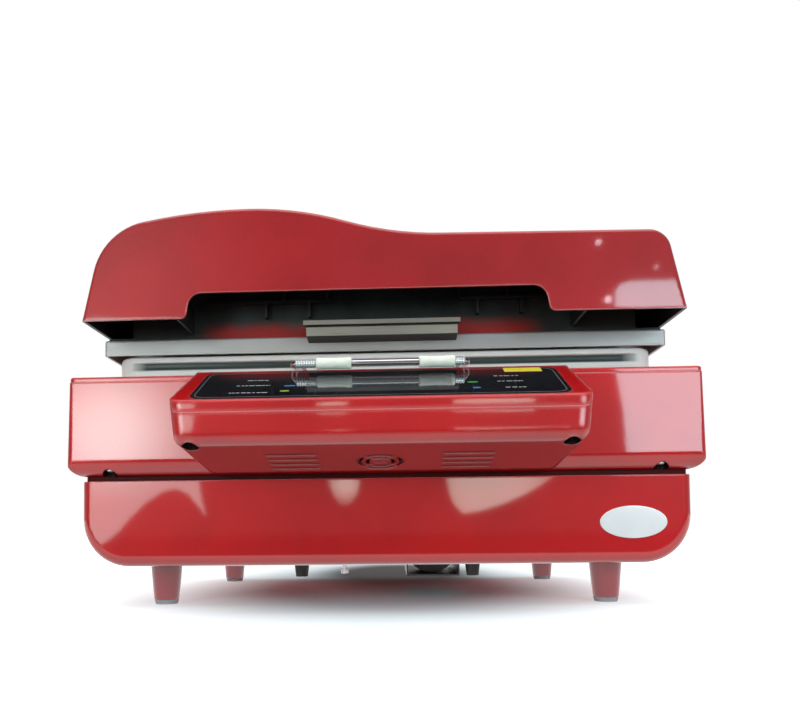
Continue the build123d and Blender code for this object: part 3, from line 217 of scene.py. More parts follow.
# pearl lacquer on moulded ABS: flakes under a thick clear coat, mirror-like gloss with faint orange peel
def pearlLacquer(name="pearlLacquer", **changes):
    material, tree, output, place = newMaterial(name)
    shader = lacquerNodes(tree, place.outputs["Object"], {**lacquer, **changes})
    tree.links.new(shader.outputs[0], output.inputs[0])
    return material


# the hood is sprayed outside and left as black moulded ABS inside, with a soft line of stray paint
def hoodLacquer():
    values = {"frontInner": -0.19315, "backInner": 0.25915, "ribReach": 0.25, "ribTop": 0.335,
              "frontZone": -0.15, "backZone": 0.2, "wallTilt": 0.9, "roofTilt": -0.02,
              "black": "#161514"}
    # painted shade: the hood takes the body's lacquer set darker, and wider eased edges that widen its painted edge
    # highlight
    outside = {**lacquer, "deep": "#A8131A", "bright": "#B9171E", "edgeRadius": 1.7 * mm, "flow": 3.2 * mm}
    material, tree, output, place = newMaterial("hoodLacquer")
    coated = lacquerNodes(tree, place.outputs["Object"], outside)
    spot = addNode(tree, "ShaderNodeSeparateXYZ", links={0: place.outputs["Object"]})
    facing = addNode(tree, "ShaderNodeSeparateXYZ", links={0: place.outputs["Normal"]})
    behind = addNode(tree, "ShaderNodeMath", {"operation": "GREATER_THAN"},
                     {0: spot.outputs[1], 1: values["frontInner"]}).outputs[0]
    ahead = addNode(tree, "ShaderNodeMath", {"operation": "LESS_THAN"},
                    {0: spot.outputs[1], 1: values["backInner"]}).outputs[0]
    downward = addNode(tree, "ShaderNodeMath", {"operation": "LESS_THAN"},
                       {0: facing.outputs[2], 1: values["roofTilt"]}).outputs[0]
    frontWall = addNode(tree, "ShaderNodeMath", {"operation": "MULTIPLY"},
                        {0: addNode(tree, "ShaderNodeMath", {"operation": "GREATER_THAN"},
                                    {0: facing.outputs[1], 1: values["wallTilt"]}).outputs[0],
                         1: addNode(tree, "ShaderNodeMath", {"operation": "LESS_THAN"},
                                    {0: spot.outputs[1], 1: values["frontZone"]}).outputs[0]}).outputs[0]
    backWall = addNode(tree, "ShaderNodeMath", {"operation": "MULTIPLY"},
                       {0: addNode(tree, "ShaderNodeMath", {"operation": "LESS_THAN"},
                                   {0: facing.outputs[1], 1: -values["wallTilt"]}).outputs[0],
                        1: addNode(tree, "ShaderNodeMath", {"operation": "GREATER_THAN"},
                                   {0: spot.outputs[1], 1: values["backZone"]}).outputs[0]}).outputs[0]
    width = addNode(tree, "ShaderNodeMath", {"operation": "ABSOLUTE"}, {0: spot.outputs[0]}).outputs[0]
    ribs = addNode(tree, "ShaderNodeMath", {"operation": "MULTIPLY"},
                   {0: addNode(tree, "ShaderNodeMath", {"operation": "LESS_THAN"},
                               {0: width, 1: values["ribReach"]}).outputs[0],
                    1: addNode(tree, "ShaderNodeMath", {"operation": "LESS_THAN"},
                               {0: spot.outputs[2], 1: values["ribTop"]}).outputs[0]}).outputs[0]
    inward = addNode(tree, "ShaderNodeMath", {"operation": "MAXIMUM"},
                     {0: addNode(tree, "ShaderNodeMath", {"operation": "MAXIMUM"}, {0: downward, 1: ribs}).outputs[0],
                      1: addNode(tree, "ShaderNodeMath", {"operation": "MAXIMUM"},
                                 {0: frontWall, 1: backWall}).outputs[0]}).outputs[0]
    inside = addNode(tree, "ShaderNodeMath", {"operation": "MULTIPLY"},
                     {0: addNode(tree, "ShaderNodeMath", {"operation": "MULTIPLY"}, {0: behind, 1: ahead}).outputs[0],
                      1: inward}).outputs[0]
    grain = addNode(tree, "ShaderNodeTexNoise", {"Scale": 1 / (0.9 * mm)}, {"Vector": place.outputs["Object"]})
    pits = addNode(tree, "ShaderNodeBump", {"Strength": 0.4, "Distance": 0.05 * mm}, {"Height": grain.outputs[0]})
    darkInside = addNode(tree, "ShaderNodeBsdfPrincipled", {"Base Color": toLinear(values["black"]), "Roughness": 0.5},
                   {"Normal": pits.outputs[0]})
    mix = addNode(tree, "ShaderNodeMixShader", links={0: inside, 1: coated.outputs[0], 2: darkInside.outputs[0]})
    tree.links.new(mix.outputs[0], output.inputs[0])
    return material


# a general moulded, cast or sheet finish: colour and roughness drift over patternSize, fine bump over grainSize
def plainFinish(name, colour, second, patternSize, grainSize, grainDepth, roughness, roughSpread=0.08, **sockets):
    material, tree, output, place = newMaterial(name)
    drift = addNode(tree, "ShaderNodeTexNoise", {"Scale": 1 / patternSize, "Detail": 4.0},
                    {"Vector": place.outputs["Object"]})
    tint = addNode(tree, "ShaderNodeValToRGB", {"stops": [(0.3, colour), (0.7, second)]}, {0: drift.outputs[0]})
    gloss = addNode(tree, "ShaderNodeMapRange",
                    {1: 0.3, 2: 0.7, 3: roughness - roughSpread, 4: roughness + roughSpread}, {0: drift.outputs[0]})
    grain = addNode(tree, "ShaderNodeTexNoise", {"Scale": 1 / grainSize, "Detail": 2.0},
                    {"Vector": place.outputs["Object"]})
    relief = addNode(tree, "ShaderNodeBump", {"Strength": 0.6, "Distance": grainDepth}, {"Height": grain.outputs[0]})
    shader = addNode(tree, "ShaderNodeBsdfPrincipled",
                     {key.replace("_", " "): value for key, value in sockets.items()},
                     {"Base Color": tint.outputs[0], "Roughness": gloss.outputs[0], "Normal": relief.outputs[0]})
    tree.links.new(shader.outputs[0], output.inputs[0])
    return material


# drawn or rolled metal with a grain of fine lines along one axis
def brushedMetal(name, colour, second, along, roughness, lineSize=0.35 * mm, lineDepth=0.012 * mm, metallic=1.0):
    material, tree, output, place = newMaterial(name)
    stretch = [1 / lineSize] * 3
    stretch["XYZ".index(along)] = 1 / (60 * mm)
    scaled = addNode(tree, "ShaderNodeMapping", {"Scale": stretch}, {"Vector": place.outputs["Object"]})
    lines = addNode(tree, "ShaderNodeTexNoise", {"Scale": 1.0, "Detail": 2.0}, {"Vector": scaled.outputs[0]})
    drift = addNode(tree, "ShaderNodeTexNoise", {"Scale": 1 / (70 * mm), "Detail": 2.0},
                    {"Vector": place.outputs["Object"]})
    tint = addNode(tree, "ShaderNodeValToRGB", {"stops": [(0.3, colour), (0.7, second)]}, {0: drift.outputs[0]})
    gloss = addNode(tree, "ShaderNodeMapRange", {1: 0.3, 2: 0.7, 3: roughness - 0.07, 4: roughness + 0.07},
                    {0: lines.outputs[0]})
    relief = addNode(tree, "ShaderNodeBump", {"Strength": 0.5, "Distance": lineDepth}, {"Height": lines.outputs[0]})
    shader = addNode(tree, "ShaderNodeBsdfPrincipled", {"Metallic": metallic},
                     {"Base Color": tint.outputs[0], "Roughness": gloss.outputs[0], "Normal": relief.outputs[0]})
    tree.links.new(shader.outputs[0], output.inputs[0])
    return material


# the lid handle's extrusion, with painted shade on the faces that look down into the lid
def metalShadedBelow(name, colour, second, along, roughness, undersideShade, **lines):
    material = brushedMetal(name, colour, second, along, roughness, **lines)
    tree = material.node_tree
    shader = next(node for node in tree.nodes if node.type == "BSDF_PRINCIPLED")
    place = next(node for node in tree.nodes if node.type == "TEX_COORD")
    facing = addNode(tree, "ShaderNodeSeparateXYZ", links={0: place.outputs["Normal"]})
    # painted shade: faces turned downwards take the dark colour
    below = addNode(tree, "ShaderNodeMapRange", {1: -0.15, 2: -0.45, 3: 0.0, 4: 1.0}, {0: facing.outputs[2]})
    tint = shader.inputs["Base Color"].links[0].from_socket
    tree.links.new(addNode(tree, "ShaderNodeMix", {"data_type": "RGBA"},
                           {0: below.outputs[0], 6: tint, 7: toLinear(undersideShade)}).outputs[2], shader.inputs["Base Color"])
    return material


# satin black heat-proof paint on sheet steel, with red lacquer mist that drifted in through the hand notch
def sprayedSteel():
    values = {"patches": [(-0.172, -0.030), (0.060, 0.152)], "mistLow": 0.273, "mistTop": 0.289, "mist": "#A8170F",
              "behindNotch": -0.12, "black": "#1A1B1A", "faded": "#343533"}
    material, tree, output, place = newMaterial("heatProofPaint")
    spot = addNode(tree, "ShaderNodeSeparateXYZ", links={0: place.outputs["Object"]})
    drift = addNode(tree, "ShaderNodeTexNoise", {"Scale": 1 / (38 * mm), "Detail": 3.0},
                    {"Vector": place.outputs["Object"]})
    # the mist settled low on the wall in two long drifts, each thinning out upwards
    across = [smoothBand(tree, spot.outputs[0], low, high, 20 * mm) for low, high in values["patches"]]
    edge = addNode(tree, "ShaderNodeMath", {"operation": "MULTIPLY_ADD"},
                   {0: drift.outputs[0], 1: 12 * mm, 2: spot.outputs[2]}).outputs[0]
    height = addNode(tree, "ShaderNodeMapRange", {"interpolation_type": "SMOOTHSTEP", 1: values["mistLow"] + 8 * mm,
                                                  2: values["mistTop"] + 8 * mm, 3: 1.0, 4: 0.0}, {0: edge})
    forward = addNode(tree, "ShaderNodeMath", {"operation": "LESS_THAN"},
                      {0: spot.outputs[1], 1: values["behindNotch"]}).outputs[0]
    speckle = addNode(tree, "ShaderNodeTexNoise", {"Scale": 1 / (1.6 * mm), "Detail": 3.0},
                      {"Vector": place.outputs["Object"]})
    grit = addNode(tree, "ShaderNodeMapRange", {1: 0.25, 2: 0.6, 3: 0.8, 4: 1.0}, {0: speckle.outputs[0]})
    amount = addNode(tree, "ShaderNodeMath", {"operation": "MULTIPLY"},
                     {0: addNode(tree, "ShaderNodeMath", {"operation": "MULTIPLY"},
                                 {0: addNode(tree, "ShaderNodeMath", {"operation": "ADD"},
                                             {0: across[0], 1: across[1]}).outputs[0],
                                  1: height.outputs[0]}).outputs[0],
                      1: addNode(tree, "ShaderNodeMath", {"operation": "MULTIPLY"},
                                 {0: forward, 1: grit.outputs[0]}).outputs[0]}).outputs[0]
    black = addNode(tree, "ShaderNodeValToRGB", {"stops": [(0.3, values["black"]), (0.7, values["faded"])]},
                    {0: drift.outputs[0]})
    colour = addNode(tree, "ShaderNodeMix", {"data_type": "RGBA"},
                     {0: amount, 6: black.outputs[0], 7: toLinear(values["mist"])}).outputs[2]
    grain = addNode(tree, "ShaderNodeTexNoise", {"Scale": 1 / (0.8 * mm)}, {"Vector": place.outputs["Object"]})
    relief = addNode(tree, "ShaderNodeBump", {"Strength": 0.4, "Distance": 0.02 * mm}, {"Height": grain.outputs[0]})
    shader = addNode(tree, "ShaderNodeBsdfPrincipled", {"Roughness": 0.5, "Specular IOR Level": 0.3},
                     {"Base Color": colour, "Normal": relief.outputs[0]})
    tree.links.new(shader.outputs[0], output.inputs[0])
    return material


# platinum-cured silicone: milky, soft gloss; darker in the groove, partly the dark rail behind showing through the thin
# wall and partly painted shade in the groove
def clearSilicone(name, useRecess):
    material, tree, output, place = newMaterial(name)
    drift = addNode(tree, "ShaderNodeTexNoise", {"Scale": 1 / (30 * mm), "Detail": 3.0},
                    {"Vector": place.outputs["Object"]})
    milk = addNode(tree, "ShaderNodeValToRGB", {"stops": [(0.3, "#E9E1DF"), (0.7, "#F6ECE6")]}, {0: drift.outputs[0]})
    colour = milk.outputs[0]
    if useRecess:
        # painted shade in the groove, with the dark rail showing through the thin wall
        grooveShade = addNode(tree, "ShaderNodeAttribute", {"attribute_name": "darkenedGroove"})
        colour = addNode(tree, "ShaderNodeMix", {"data_type": "RGBA"},
                         {0: grooveShade.outputs["Fac"], 6: colour, 7: toLinear("#39423F")}).outputs[2]
    grain = addNode(tree, "ShaderNodeTexNoise", {"Scale": 1 / (1.5 * mm)}, {"Vector": place.outputs["Object"]})
    relief = addNode(tree, "ShaderNodeBump", {"Strength": 0.3, "Distance": 0.02 * mm}, {"Height": grain.outputs[0]})
    shader = addNode(tree, "ShaderNodeBsdfPrincipled",
                     {"Roughness": 0.3, "Subsurface Weight": 0.25, "Subsurface Radius": (0.9, 1.0, 1.0),
                      "Subsurface Scale": 4 * mm, "IOR": 1.41},
                     {"Base Color": colour, "Normal": relief.outputs[0]})
    tree.links.new(shader.outputs[0], output.inputs[0])
    return material


# closed-cell polyethylene foam: white, dull, with open cut cells that catch small shadows
def foamTube():
    material, tree, output, place = newMaterial("polyethyleneFoam")
    cells = addNode(tree, "ShaderNodeTexVoronoi", {"Scale": 1 / (0.9 * mm)}, {"Vector": place.outputs["Object"]})
    lumps = addNode(tree, "ShaderNodeTexNoise", {"Scale": 1 / (6 * mm), "Detail": 4.0},
                    {"Vector": place.outputs["Object"]})
    tint = addNode(tree, "ShaderNodeValToRGB", {"stops": [(0.3, "#F4EEE0"), (0.7, "#FFFBF0")]}, {0: lumps.outputs[0]})
    relief = addNode(tree, "ShaderNodeBump", {"Strength": 0.5, "Distance": 0.25 * mm}, {"Height": cells.outputs[0]})
    shader = addNode(tree, "ShaderNodeBsdfPrincipled",
                     {"Roughness": 0.75, "Subsurface Weight": 0.4, "Subsurface Radius": (1.0, 1.0, 0.9),
                      "Subsurface Scale": 2 * mm},
                     {"Base Color": tint.outputs[0], "Normal": relief.outputs[0]})
    tree.links.new(shader.outputs[0], output.inputs[0])
    return material


# chrome plate on steel rod: a clean mirror with the faintest polishing haze
def chromePlate():
    material, tree, output, place = newMaterial("chromePlate")
    haze = addNode(tree, "ShaderNodeTexNoise", {"Scale": 1 / (4 * mm), "Detail": 3.0},
                   {"Vector": place.outputs["Object"]})
    gloss = addNode(tree, "ShaderNodeMapRange", {1: 0.3, 2: 0.8, 3: 0.04, 4: 0.12}, {0: haze.outputs[0]})
    shader = addNode(tree, "ShaderNodeBsdfPrincipled", {"Base Color": toLinear("#D9DADD"), "Metallic": 1.0},
                     {"Roughness": gloss.outputs[0]})
    tree.links.new(shader.outputs[0], output.inputs[0])
    return material


# clear moulded or drawn material: display lens, quartz tubes and PVC hose
def clearFinish(name, colour, roughness, ior, weight=1.0):
    material, tree, output, place = newMaterial(name)
    haze = addNode(tree, "ShaderNodeTexNoise", {"Scale": 1 / (8 * mm), "Detail": 2.0},
                   {"Vector": place.outputs["Object"]})
    gloss = addNode(tree, "ShaderNodeMapRange", {1: 0.3, 2: 0.7, 3: roughness, 4: roughness * 1.6},
                    {0: haze.outputs[0]})
    shader = addNode(tree, "ShaderNodeBsdfPrincipled",
                     {"Base Color": toLinear(colour), "Transmission Weight": weight, "IOR": ior},
                     {"Roughness": gloss.outputs[0]})
    tree.links.new(shader.outputs[0], output.inputs[0])
    return material


# green solder resist over copper, with the tracks just showing
def circuitBoard():
    material, tree, output, place = newMaterial("solderResist")
    cells = addNode(tree, "ShaderNodeTexVoronoi", {"Scale": 1 / (5 * mm), "distance": "MANHATTAN"},
                    {"Vector": place.outputs["Object"]})
    tint = addNode(tree, "ShaderNodeValToRGB", {"stops": [(0.2, "#1E5B35"), (0.45, "#123F23")]}, {0: cells.outputs[0]})
    tint.color_ramp.interpolation = "CONSTANT"
    shader = addNode(tree, "ShaderNodeBsdfPrincipled", {"Roughness": 0.35}, {"Base Color": tint.outputs[0]})
    tree.links.new(shader.outputs[0], output.inputs[0])
    return material


finishes = {
    "redLacquer": pearlLacquer(),
    # the control box has softer moulded edges
    "controlLacquer": pearlLacquer("controlLacquer", flow=5.5 * mm),
    "hoodLacquer": hoodLacquer(),
    # painted shade: the feet take the body's lacquer set darker and more mauve
    "shadedFootLacquer": pearlLacquer("shadedFootLacquer", deep="#951E2A", bright="#A82A36"),
    # moulded ABS set dark maroon, as painted shade in the recessed gap between the housings: satin
    "seamShadePlastic": plainFinish("shadedSeamMaroon", "#3C0508", "#4A080C", 25 * mm, 1.2 * mm, 0.02 * mm, 0.5,
                               Specular_IOR_Level=0.1),
    # grey nitrile rubber: dull, slightly marked
    "padRubber": plainFinish("nitrileRubber", "#ACA5A8", "#BDB6B8", 6 * mm, 0.8 * mm, 0.05 * mm, 0.7),
    "blackRubber": plainFinish("blackRubber", "#171717", "#222222", 6 * mm, 0.8 * mm, 0.05 * mm, 0.62),
    "sealSilicone": clearSilicone("clearSilicone", True),
    "sheetSilicone": clearSilicone("siliconeSheet", False),
    # foamed silicone: matt, off-white
    "gasket": plainFinish("foamedSilicone", "#9C968C", "#B0AAA0", 9 * mm, 0.9 * mm, 0.06 * mm, 0.65),
    # deep-drawn stainless steel: soft long reflections
    "trayStainless": brushedMetal("drawnStainless", "#B9B9B7", "#C9C9C7", "X", 0.3),
    # zinc-plated sheet: cool, blotchy satin
    "zincSheet": plainFinish("zincPlatedSteel", "#A9ABA8", "#C3C4BF", 12 * mm, 0.5 * mm, 0.01 * mm, 0.36,
                             Metallic=1.0),
    "chromePlate": chromePlate(),
    # satin anodised aluminium: even grey with fine drawn lines
    "greyAnodised": brushedMetal("anodisedAluminium", "#B1A7A6", "#BDB3B1", "X", 0.42, metallic=0.4),
    # the last colour is painted shade on the handle's downward faces
    "handleAnodised": metalShadedBelow("anodisedExtrusion", "#998E86", "#A79C93", "X", 0.34, "#2B2A24",
                                   lineSize=0.5 * mm, lineDepth=0.003 * mm, metallic=0.7),
    "darkAnodised": brushedMetal("darkAnodisedRail", "#3E4644", "#4A524F", "X", 0.34),
    # polished reflector sheet: bright, slightly rippled
    "reflectorSheet": plainFinish("polishedReflector", "#CFCFD1", "#DADADC", 30 * mm, 6 * mm, 0.05 * mm, 0.12,
                                  0.04, Metallic=1.0),
    "sprayedSteel": sprayedSteel(),
    # printed gloss polycarbonate film: near-black with a wet shine
    "panelFilm": plainFinish("glossPolycarbonate", "#1D1D22", "#26262C", 40 * mm, 9 * mm, 0.003 * mm, 0.06, 0.02,
                             Coat_Weight=1.0, Coat_Roughness=0.02, Coat_IOR=2.0, IOR=1.6),
    "displayLens": clearFinish("tintedAcrylic", "#6E757A", 0.04, 1.49, 0.75),
    "circuitBoard": circuitBoard(),
    # moulded black nylon: satin with a sparkle texture
    "blackNylon": plainFinish("blackNylon", "#141414", "#1E1E1E", 8 * mm, 0.6 * mm, 0.06 * mm, 0.45),
    # stoved motor paint: even dark grey
    "motorPaint": plainFinish("stovedPaint", "#34373A", "#3E4144", 10 * mm, 0.7 * mm, 0.03 * mm, 0.4),
    # die-cast aluminium: pale, faintly grainy
    "castAlloy": plainFinish("dieCastAluminium", "#A3A4A4", "#B9BABA", 7 * mm, 0.6 * mm, 0.06 * mm, 0.45,
                             Metallic=1.0),
    # steatite ceramic: warm off-white, dry
    "ceramic": plainFinish("steatite", "#CFC9BB", "#DCD7CB", 6 * mm, 0.5 * mm, 0.04 * mm, 0.6),
    "quartz": clearFinish("fusedQuartz", "#EFE9DF", 0.06, 1.46, 0.8),
    # ceramic fibre blanket: felted, no gloss
    "fibreMat": plainFinish("ceramicFibre", "#D6D0C2", "#E2DDD1", 5 * mm, 1.2 * mm, 0.5 * mm, 0.92, 0.03),
    # bright zinc machine screws and rolled threads, with a little white bloom
    "brightZinc": plainFinish("brightZinc", "#CFCFD0", "#DFDFE0", 3 * mm, 0.5 * mm, 0.01 * mm, 0.28, 0.06,
                              Metallic=0.7),
    "hosePvc": clearFinish("softPvc", "#E3E4DE", 0.12, 1.53, 0.6),
    "foam": foamTube(),
    # glossy vinyl sticker stock
    "whiteVinyl": plainFinish("whiteVinyl", "#FAF4F6", "#FFFAFA", 20 * mm, 3 * mm, 0.01 * mm, 0.22, 0.03,
                              Coat_Weight=0.4),
    "yellowPaper": plainFinish("yellowPaper", "#D9C32E", "#E3CE3C", 6 * mm, 0.8 * mm, 0.02 * mm, 0.6),
    # screen-printing inks on the film
    "whiteInk": plainFinish("whiteInk", "#B4B6B6", "#C8CACA", 2 * mm, 0.3 * mm, 0.01 * mm, 0.4),
    "greyInk": plainFinish("greyInk", "#6E7073", "#7E8083", 2 * mm, 0.3 * mm, 0.01 * mm, 0.4),
    "blueInk": plainFinish("blueInk", "#3B76AE", "#4A88C0", 2 * mm, 0.3 * mm, 0.01 * mm, 0.35),
    "greenInk": plainFinish("greenInk", "#3E9A48", "#55B05C", 2 * mm, 0.3 * mm, 0.01 * mm, 0.35),
    "limeInk": plainFinish("limeInk", "#8FA93A", "#A5BE4E", 2 * mm, 0.3 * mm, 0.01 * mm, 0.35),
}

finishOfNode = {
    "redLacquer": ["lower_housing", "upper_housing", "deck_cover"],
    "controlLacquer": ["control_lower_case", "control_top_case"],
    "hoodLacquer": ["lid_shell"],
    "shadedFootLacquer": ["foot_front_left", "foot_front_right", "foot_rear_left", "foot_rear_right"],
    "seamShadePlastic": ["seam_frame"],
    "padRubber": ["foot_pads"],
    "blackRubber": ["pump_mounts"],
    "sealSilicone": ["membrane_seal"],
    "sheetSilicone": ["silicone_membrane"],
    "gasket": ["tray_gasket"],
    "trayStainless": ["work_tray", "support_grid"],
    "zincSheet": ["chassis_plate", "pump_bars", "hinge_brackets", "frame_ears", "lid_arms",
                  "guard_grille", "thermostat"],
    "chromePlate": ["membrane_handle", "hinge_rod"],
    "greyAnodised": ["heater_tray"],
    "handleAnodised": ["lid_handle"],
    "darkAnodised": ["membrane_rail", "clamp_ring"],
    "reflectorSheet": ["reflector"],
    "sprayedSteel": ["lid_inner_wall"],
    "panelFilm": ["panel_overlay"],
    "displayLens": ["display_window"],
    "circuitBoard": ["control_board", "power_board"],
    "blackNylon": ["panel_fan_frame", "panel_fan_rotor", "rear_fan_frame", "rear_fan_rotor", "power_inlet",
                   "power_switch_frame", "power_rocker", "fuse_holder", "solid_state_relay"],
    "motorPaint": ["pump_motor", "pump_cradle", "release_valve"],
    "castAlloy": ["pump_heads", "heat_sink"],
    "ceramic": ["tube_holders"],
    "quartz": ["heater_tubes"],
    "fibreMat": ["insulation_mat"],
    "brightZinc": ["housing_screws", "drain_screw"],
    "hosePvc": ["vacuum_hose"],
    "foam": ["handle_sleeve_left", "handle_sleeve_right"],
}
for finish, members in finishOfNode.items():
    for member in members:
        piece = nodes[member]
        piece.data.materials.clear()
        piece.data.materials.append(finishes[finish])
unfinished = set(nodes) - {member for members in finishOfNode.values() for member in members}
print("stage: materials on", len(nodes) - len(unfinished), "nodes, without:", sorted(unfinished))


# silicone skin of the membrane frame
sealValues = {
    "halfWidth": 275 * mm, "front": -131 * mm, "back": 245 * mm, "corner": 20 * mm,
    "low": 223 * mm, "high": 255 * mm, "wall": 6 * mm,
    "grooveLow": 240.6 * mm, "grooveHigh": 248.2 * mm, "grooveDepth": 1.6 * mm, "grooveSoft": 1.1 * mm,
    "fadeStart": -8 * mm, "fade": 18 * mm, "tuck": 5 * mm, "tuckHeight": 16 * mm, "crown": 4.5 * mm,
    "cornerSteps": 14,
}


def roundedRectangle(halfWidth, front, back, corner, steps, runStep=12 * mm):
    points = []
    centres = [(halfWidth - corner, front + corner, -90), (halfWidth - corner, back - corner, 0),
               (-halfWidth + corner, back - corner, 90), (-halfWidth + corner, front + corner, 180)]
    for index, (x, y, start) in enumerate(centres):
        for step in range(steps + 1):
            angle = math.radians(start + 90 * step / steps)
            points.append((Vector((x + corner * math.cos(angle), y + corner * math.sin(angle), 0)),
                           Vector((math.cos(angle), math.sin(angle), 0))))
        nextX, nextY, nextStart = centres[(index + 1) % 4]
        angle = math.radians(nextStart)
        target = Vector((nextX + corner * math.cos(angle), nextY + corner * math.sin(angle), 0))
        last, outward = points[-1][0], points[-1][1]
        count = max(1, int((target - last).length / runStep))
        points += [(last.lerp(target, (i + 1) / (count + 1)), outward.copy()) for i in range(count)]
    return points


def makeSeal():
    v = sealValues
    ring = roundedRectangle(v["halfWidth"], v["front"], v["back"], v["corner"], v["cornerSteps"])
    middleY = (v["front"] + v["back"]) / 2
    reachX, reachY = v["halfWidth"] - v["corner"], (v["back"] - v["front"]) / 2 - v["corner"]
    # height, inset and share of the groove depth for each line of the outer face, then the inner face
    soft = v["grooveSoft"]
    heights = [(v["low"] + v["tuckHeight"] * step / 8, 0) for step in range(8)]
    for share in (0, 0.15, 0.4, 0.7, 1):
        heights.append((v["grooveLow"] - soft + 2 * soft * share, share * share * (3 - 2 * share)))
    heights.append(((v["grooveLow"] + v["grooveHigh"]) / 2, 1))
    for share in (1, 0.7, 0.4, 0.15, 0):
        heights.append((v["grooveHigh"] + soft - 2 * soft * share, share * share * (3 - 2 * share)))
    crownLow = v["high"] - v["crown"]
    heights += [(crownLow + v["crown"] * math.sin(math.radians(turn)), 0) for turn in (12, 30, 48, 66, 80, 90)]
    outer = []
    for height, groove in heights:
        tucked = max(0, 1 - (height - v["low"]) / v["tuckHeight"])
        over = max(0, height - crownLow) / v["crown"]
        inset = v["tuck"] * tucked ** 2 + v["crown"] * (1 - math.sqrt(max(0, 1 - over * over))) * 0.9
        outer.append((height, inset, groove))
    inner = [(v["high"], v["wall"], 0), (v["low"], v["wall"], 0)]
    points, grooveShade, faces = [], [], []
    for place, outward in ring:
        # the groove runs out towards each corner
        alongX = abs(outward.y) > 0.999
        alongY = abs(outward.x) > 0.999
        turned = math.acos(min(1, max(abs(outward.x), abs(outward.y))))
        left = -v["corner"] * turned
        if alongX or alongY:
            left = reachX - abs(place.x) if alongX else reachY - abs(place.y - middleY)
        depth = min(1, max(0, (left - v["fadeStart"]) / v["fade"]))
        depth = depth * depth * (3 - 2 * depth)
        for height, inset, groove in outer + inner:
            points.append(place - outward * (inset + groove * depth * v["grooveDepth"]) + Vector((0, 0, height)))
            grooveShade.append(groove * depth)
    size = len(outer) + len(inner)
    for station in range(len(ring)):
        after = (station + 1) % len(ring)
        for line in range(size):
            up = (line + 1) % size
            faces.append((station * size + line, after * size + line, after * size + up, station * size + up))
    seal = meshPiece("frame_silicone", points, faces, finishes["sealSilicone"], "membrane_frame")
    # how deep the groove is at each point, for the painted shade in it
    attribute = seal.data.attributes.new("darkenedGroove", "FLOAT", "POINT")
    attribute.data.foreach_set("value", grooveShade)
    sharpByAngle(seal, 50)
    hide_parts("membrane_seal")
    return seal


makeSeal()
print("stage: membrane frame skin made")


# foam sleeves, cut by hand from tube and squeezed on the bar
sleeveValues = {"bar": (-208 * mm, 227.5 * mm), "bore": 3.05 * mm, "radius": 5.5 * mm, "seed": 7, "steps": 40,
                "lines": 26, "squeeze": 0.05, "lumps": 0.035, "rimEase": 0.12, "rimWidth": 0.9 * mm, "flare": 0.07,
                "raggedCut": 0.9 * mm, "thickest": 1.02, "fill": 0.8}


def makeSleeve(name, node, raggedEnd):
    v = sleeveValues
    low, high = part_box(node)
    chance = random.Random(v["seed"] + (1 if raggedEnd > 0 else 0))
    y, z = v["bar"]
    waves = [(chance.uniform(0.5, 1), chance.uniform(0, 6.28), count) for count in (1, 2, 3)]
    points, faces = [], []
    steps, lines = v["steps"], v["lines"]
    for line in range(lines + 1):
        along = line / lines
        for step in range(steps):
            angle = 2 * math.pi * step / steps
            wave = sum(size * math.sin(count * angle + phase + 4 * along) for size, phase, count in waves) / 3
            pinch = 1 - v["squeeze"] * math.sin(math.pi * along) + v["lumps"] * wave
            rim = min(along, 1 - along) * (high.x - low.x)
            edge = 1 - v["rimEase"] * max(0, 1 - rim / v["rimWidth"]) ** 2
            nearRagged = max(0, 1 - (1 - along if raggedEnd > 0 else along) * 4)
            flare = 1 + v["flare"] * nearRagged * math.sin(3 * angle + 1)
            radius = min(v["radius"] * pinch * edge * flare, v["radius"] * v["thickest"])
            cut = v["raggedCut"] * nearRagged * math.sin(2 * angle + 0.6) * (-raggedEnd)
            x = low.x + (high.x - low.x) * along + min(0, cut)
            points.append((x, y + radius * math.cos(angle), z + radius * math.sin(angle)))
    for end in (lines, 0):
        for step in range(steps):
            angle = 2 * math.pi * step / steps
            x = low.x + (high.x - low.x) * (1 if end else 0)
            points.append((x, y + v["bore"] * math.cos(angle), z + v["bore"] * math.sin(angle)))
    rows = lines + 3
    for row in range(rows):
        after = (row + 1) % rows
        for step in range(steps):
            side = (step + 1) % steps
            faces.append((row * steps + step, row * steps + side, after * steps + side, after * steps + step))
    sleeve = meshPiece(name, points, faces, finishes["foam"], "membrane_frame")
    sharpByAngle(sleeve, 50)
    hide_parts(node)
    return sleeve


makeSleeve("foam_sleeve_left", "handle_sleeve_left", 1)
makeSleeve("foam_sleeve_right", "handle_sleeve_right", -1)


def lathe(profile, axis, centre, steps=40):
    turn = Vector((0, 0, 1)).rotation_difference(Vector(axis)).to_matrix()
    points, faces = [], []
    for radius, height in profile:
        for step in range(steps):
            angle = 2 * math.pi * step / steps
            local = Vector((radius * math.cos(angle), radius * math.sin(angle), height))
            points.append(Vector(centre) + turn @ local)
    rows = len(profile)
    for row in range(rows - 1):
        for step in range(steps):
            side = (step + 1) % steps
            faces.append((row * steps + step, row * steps + side, (row + 1) * steps + side, (row + 1) * steps + step))
    faces.append(tuple(range(steps)))
    faces.append(tuple(range((rows - 1) * steps, rows * steps)))
    return points, faces


# rolled thread at each end of the chrome bar, drawn coarse enough to show
threadValues = {"spans": [(-78 * mm, -58.6 * mm), (69.4 * mm, 78 * mm)], "pitch": 2.3 * mm, "root": 3.05 * mm,
                "crest": 3.95 * mm}


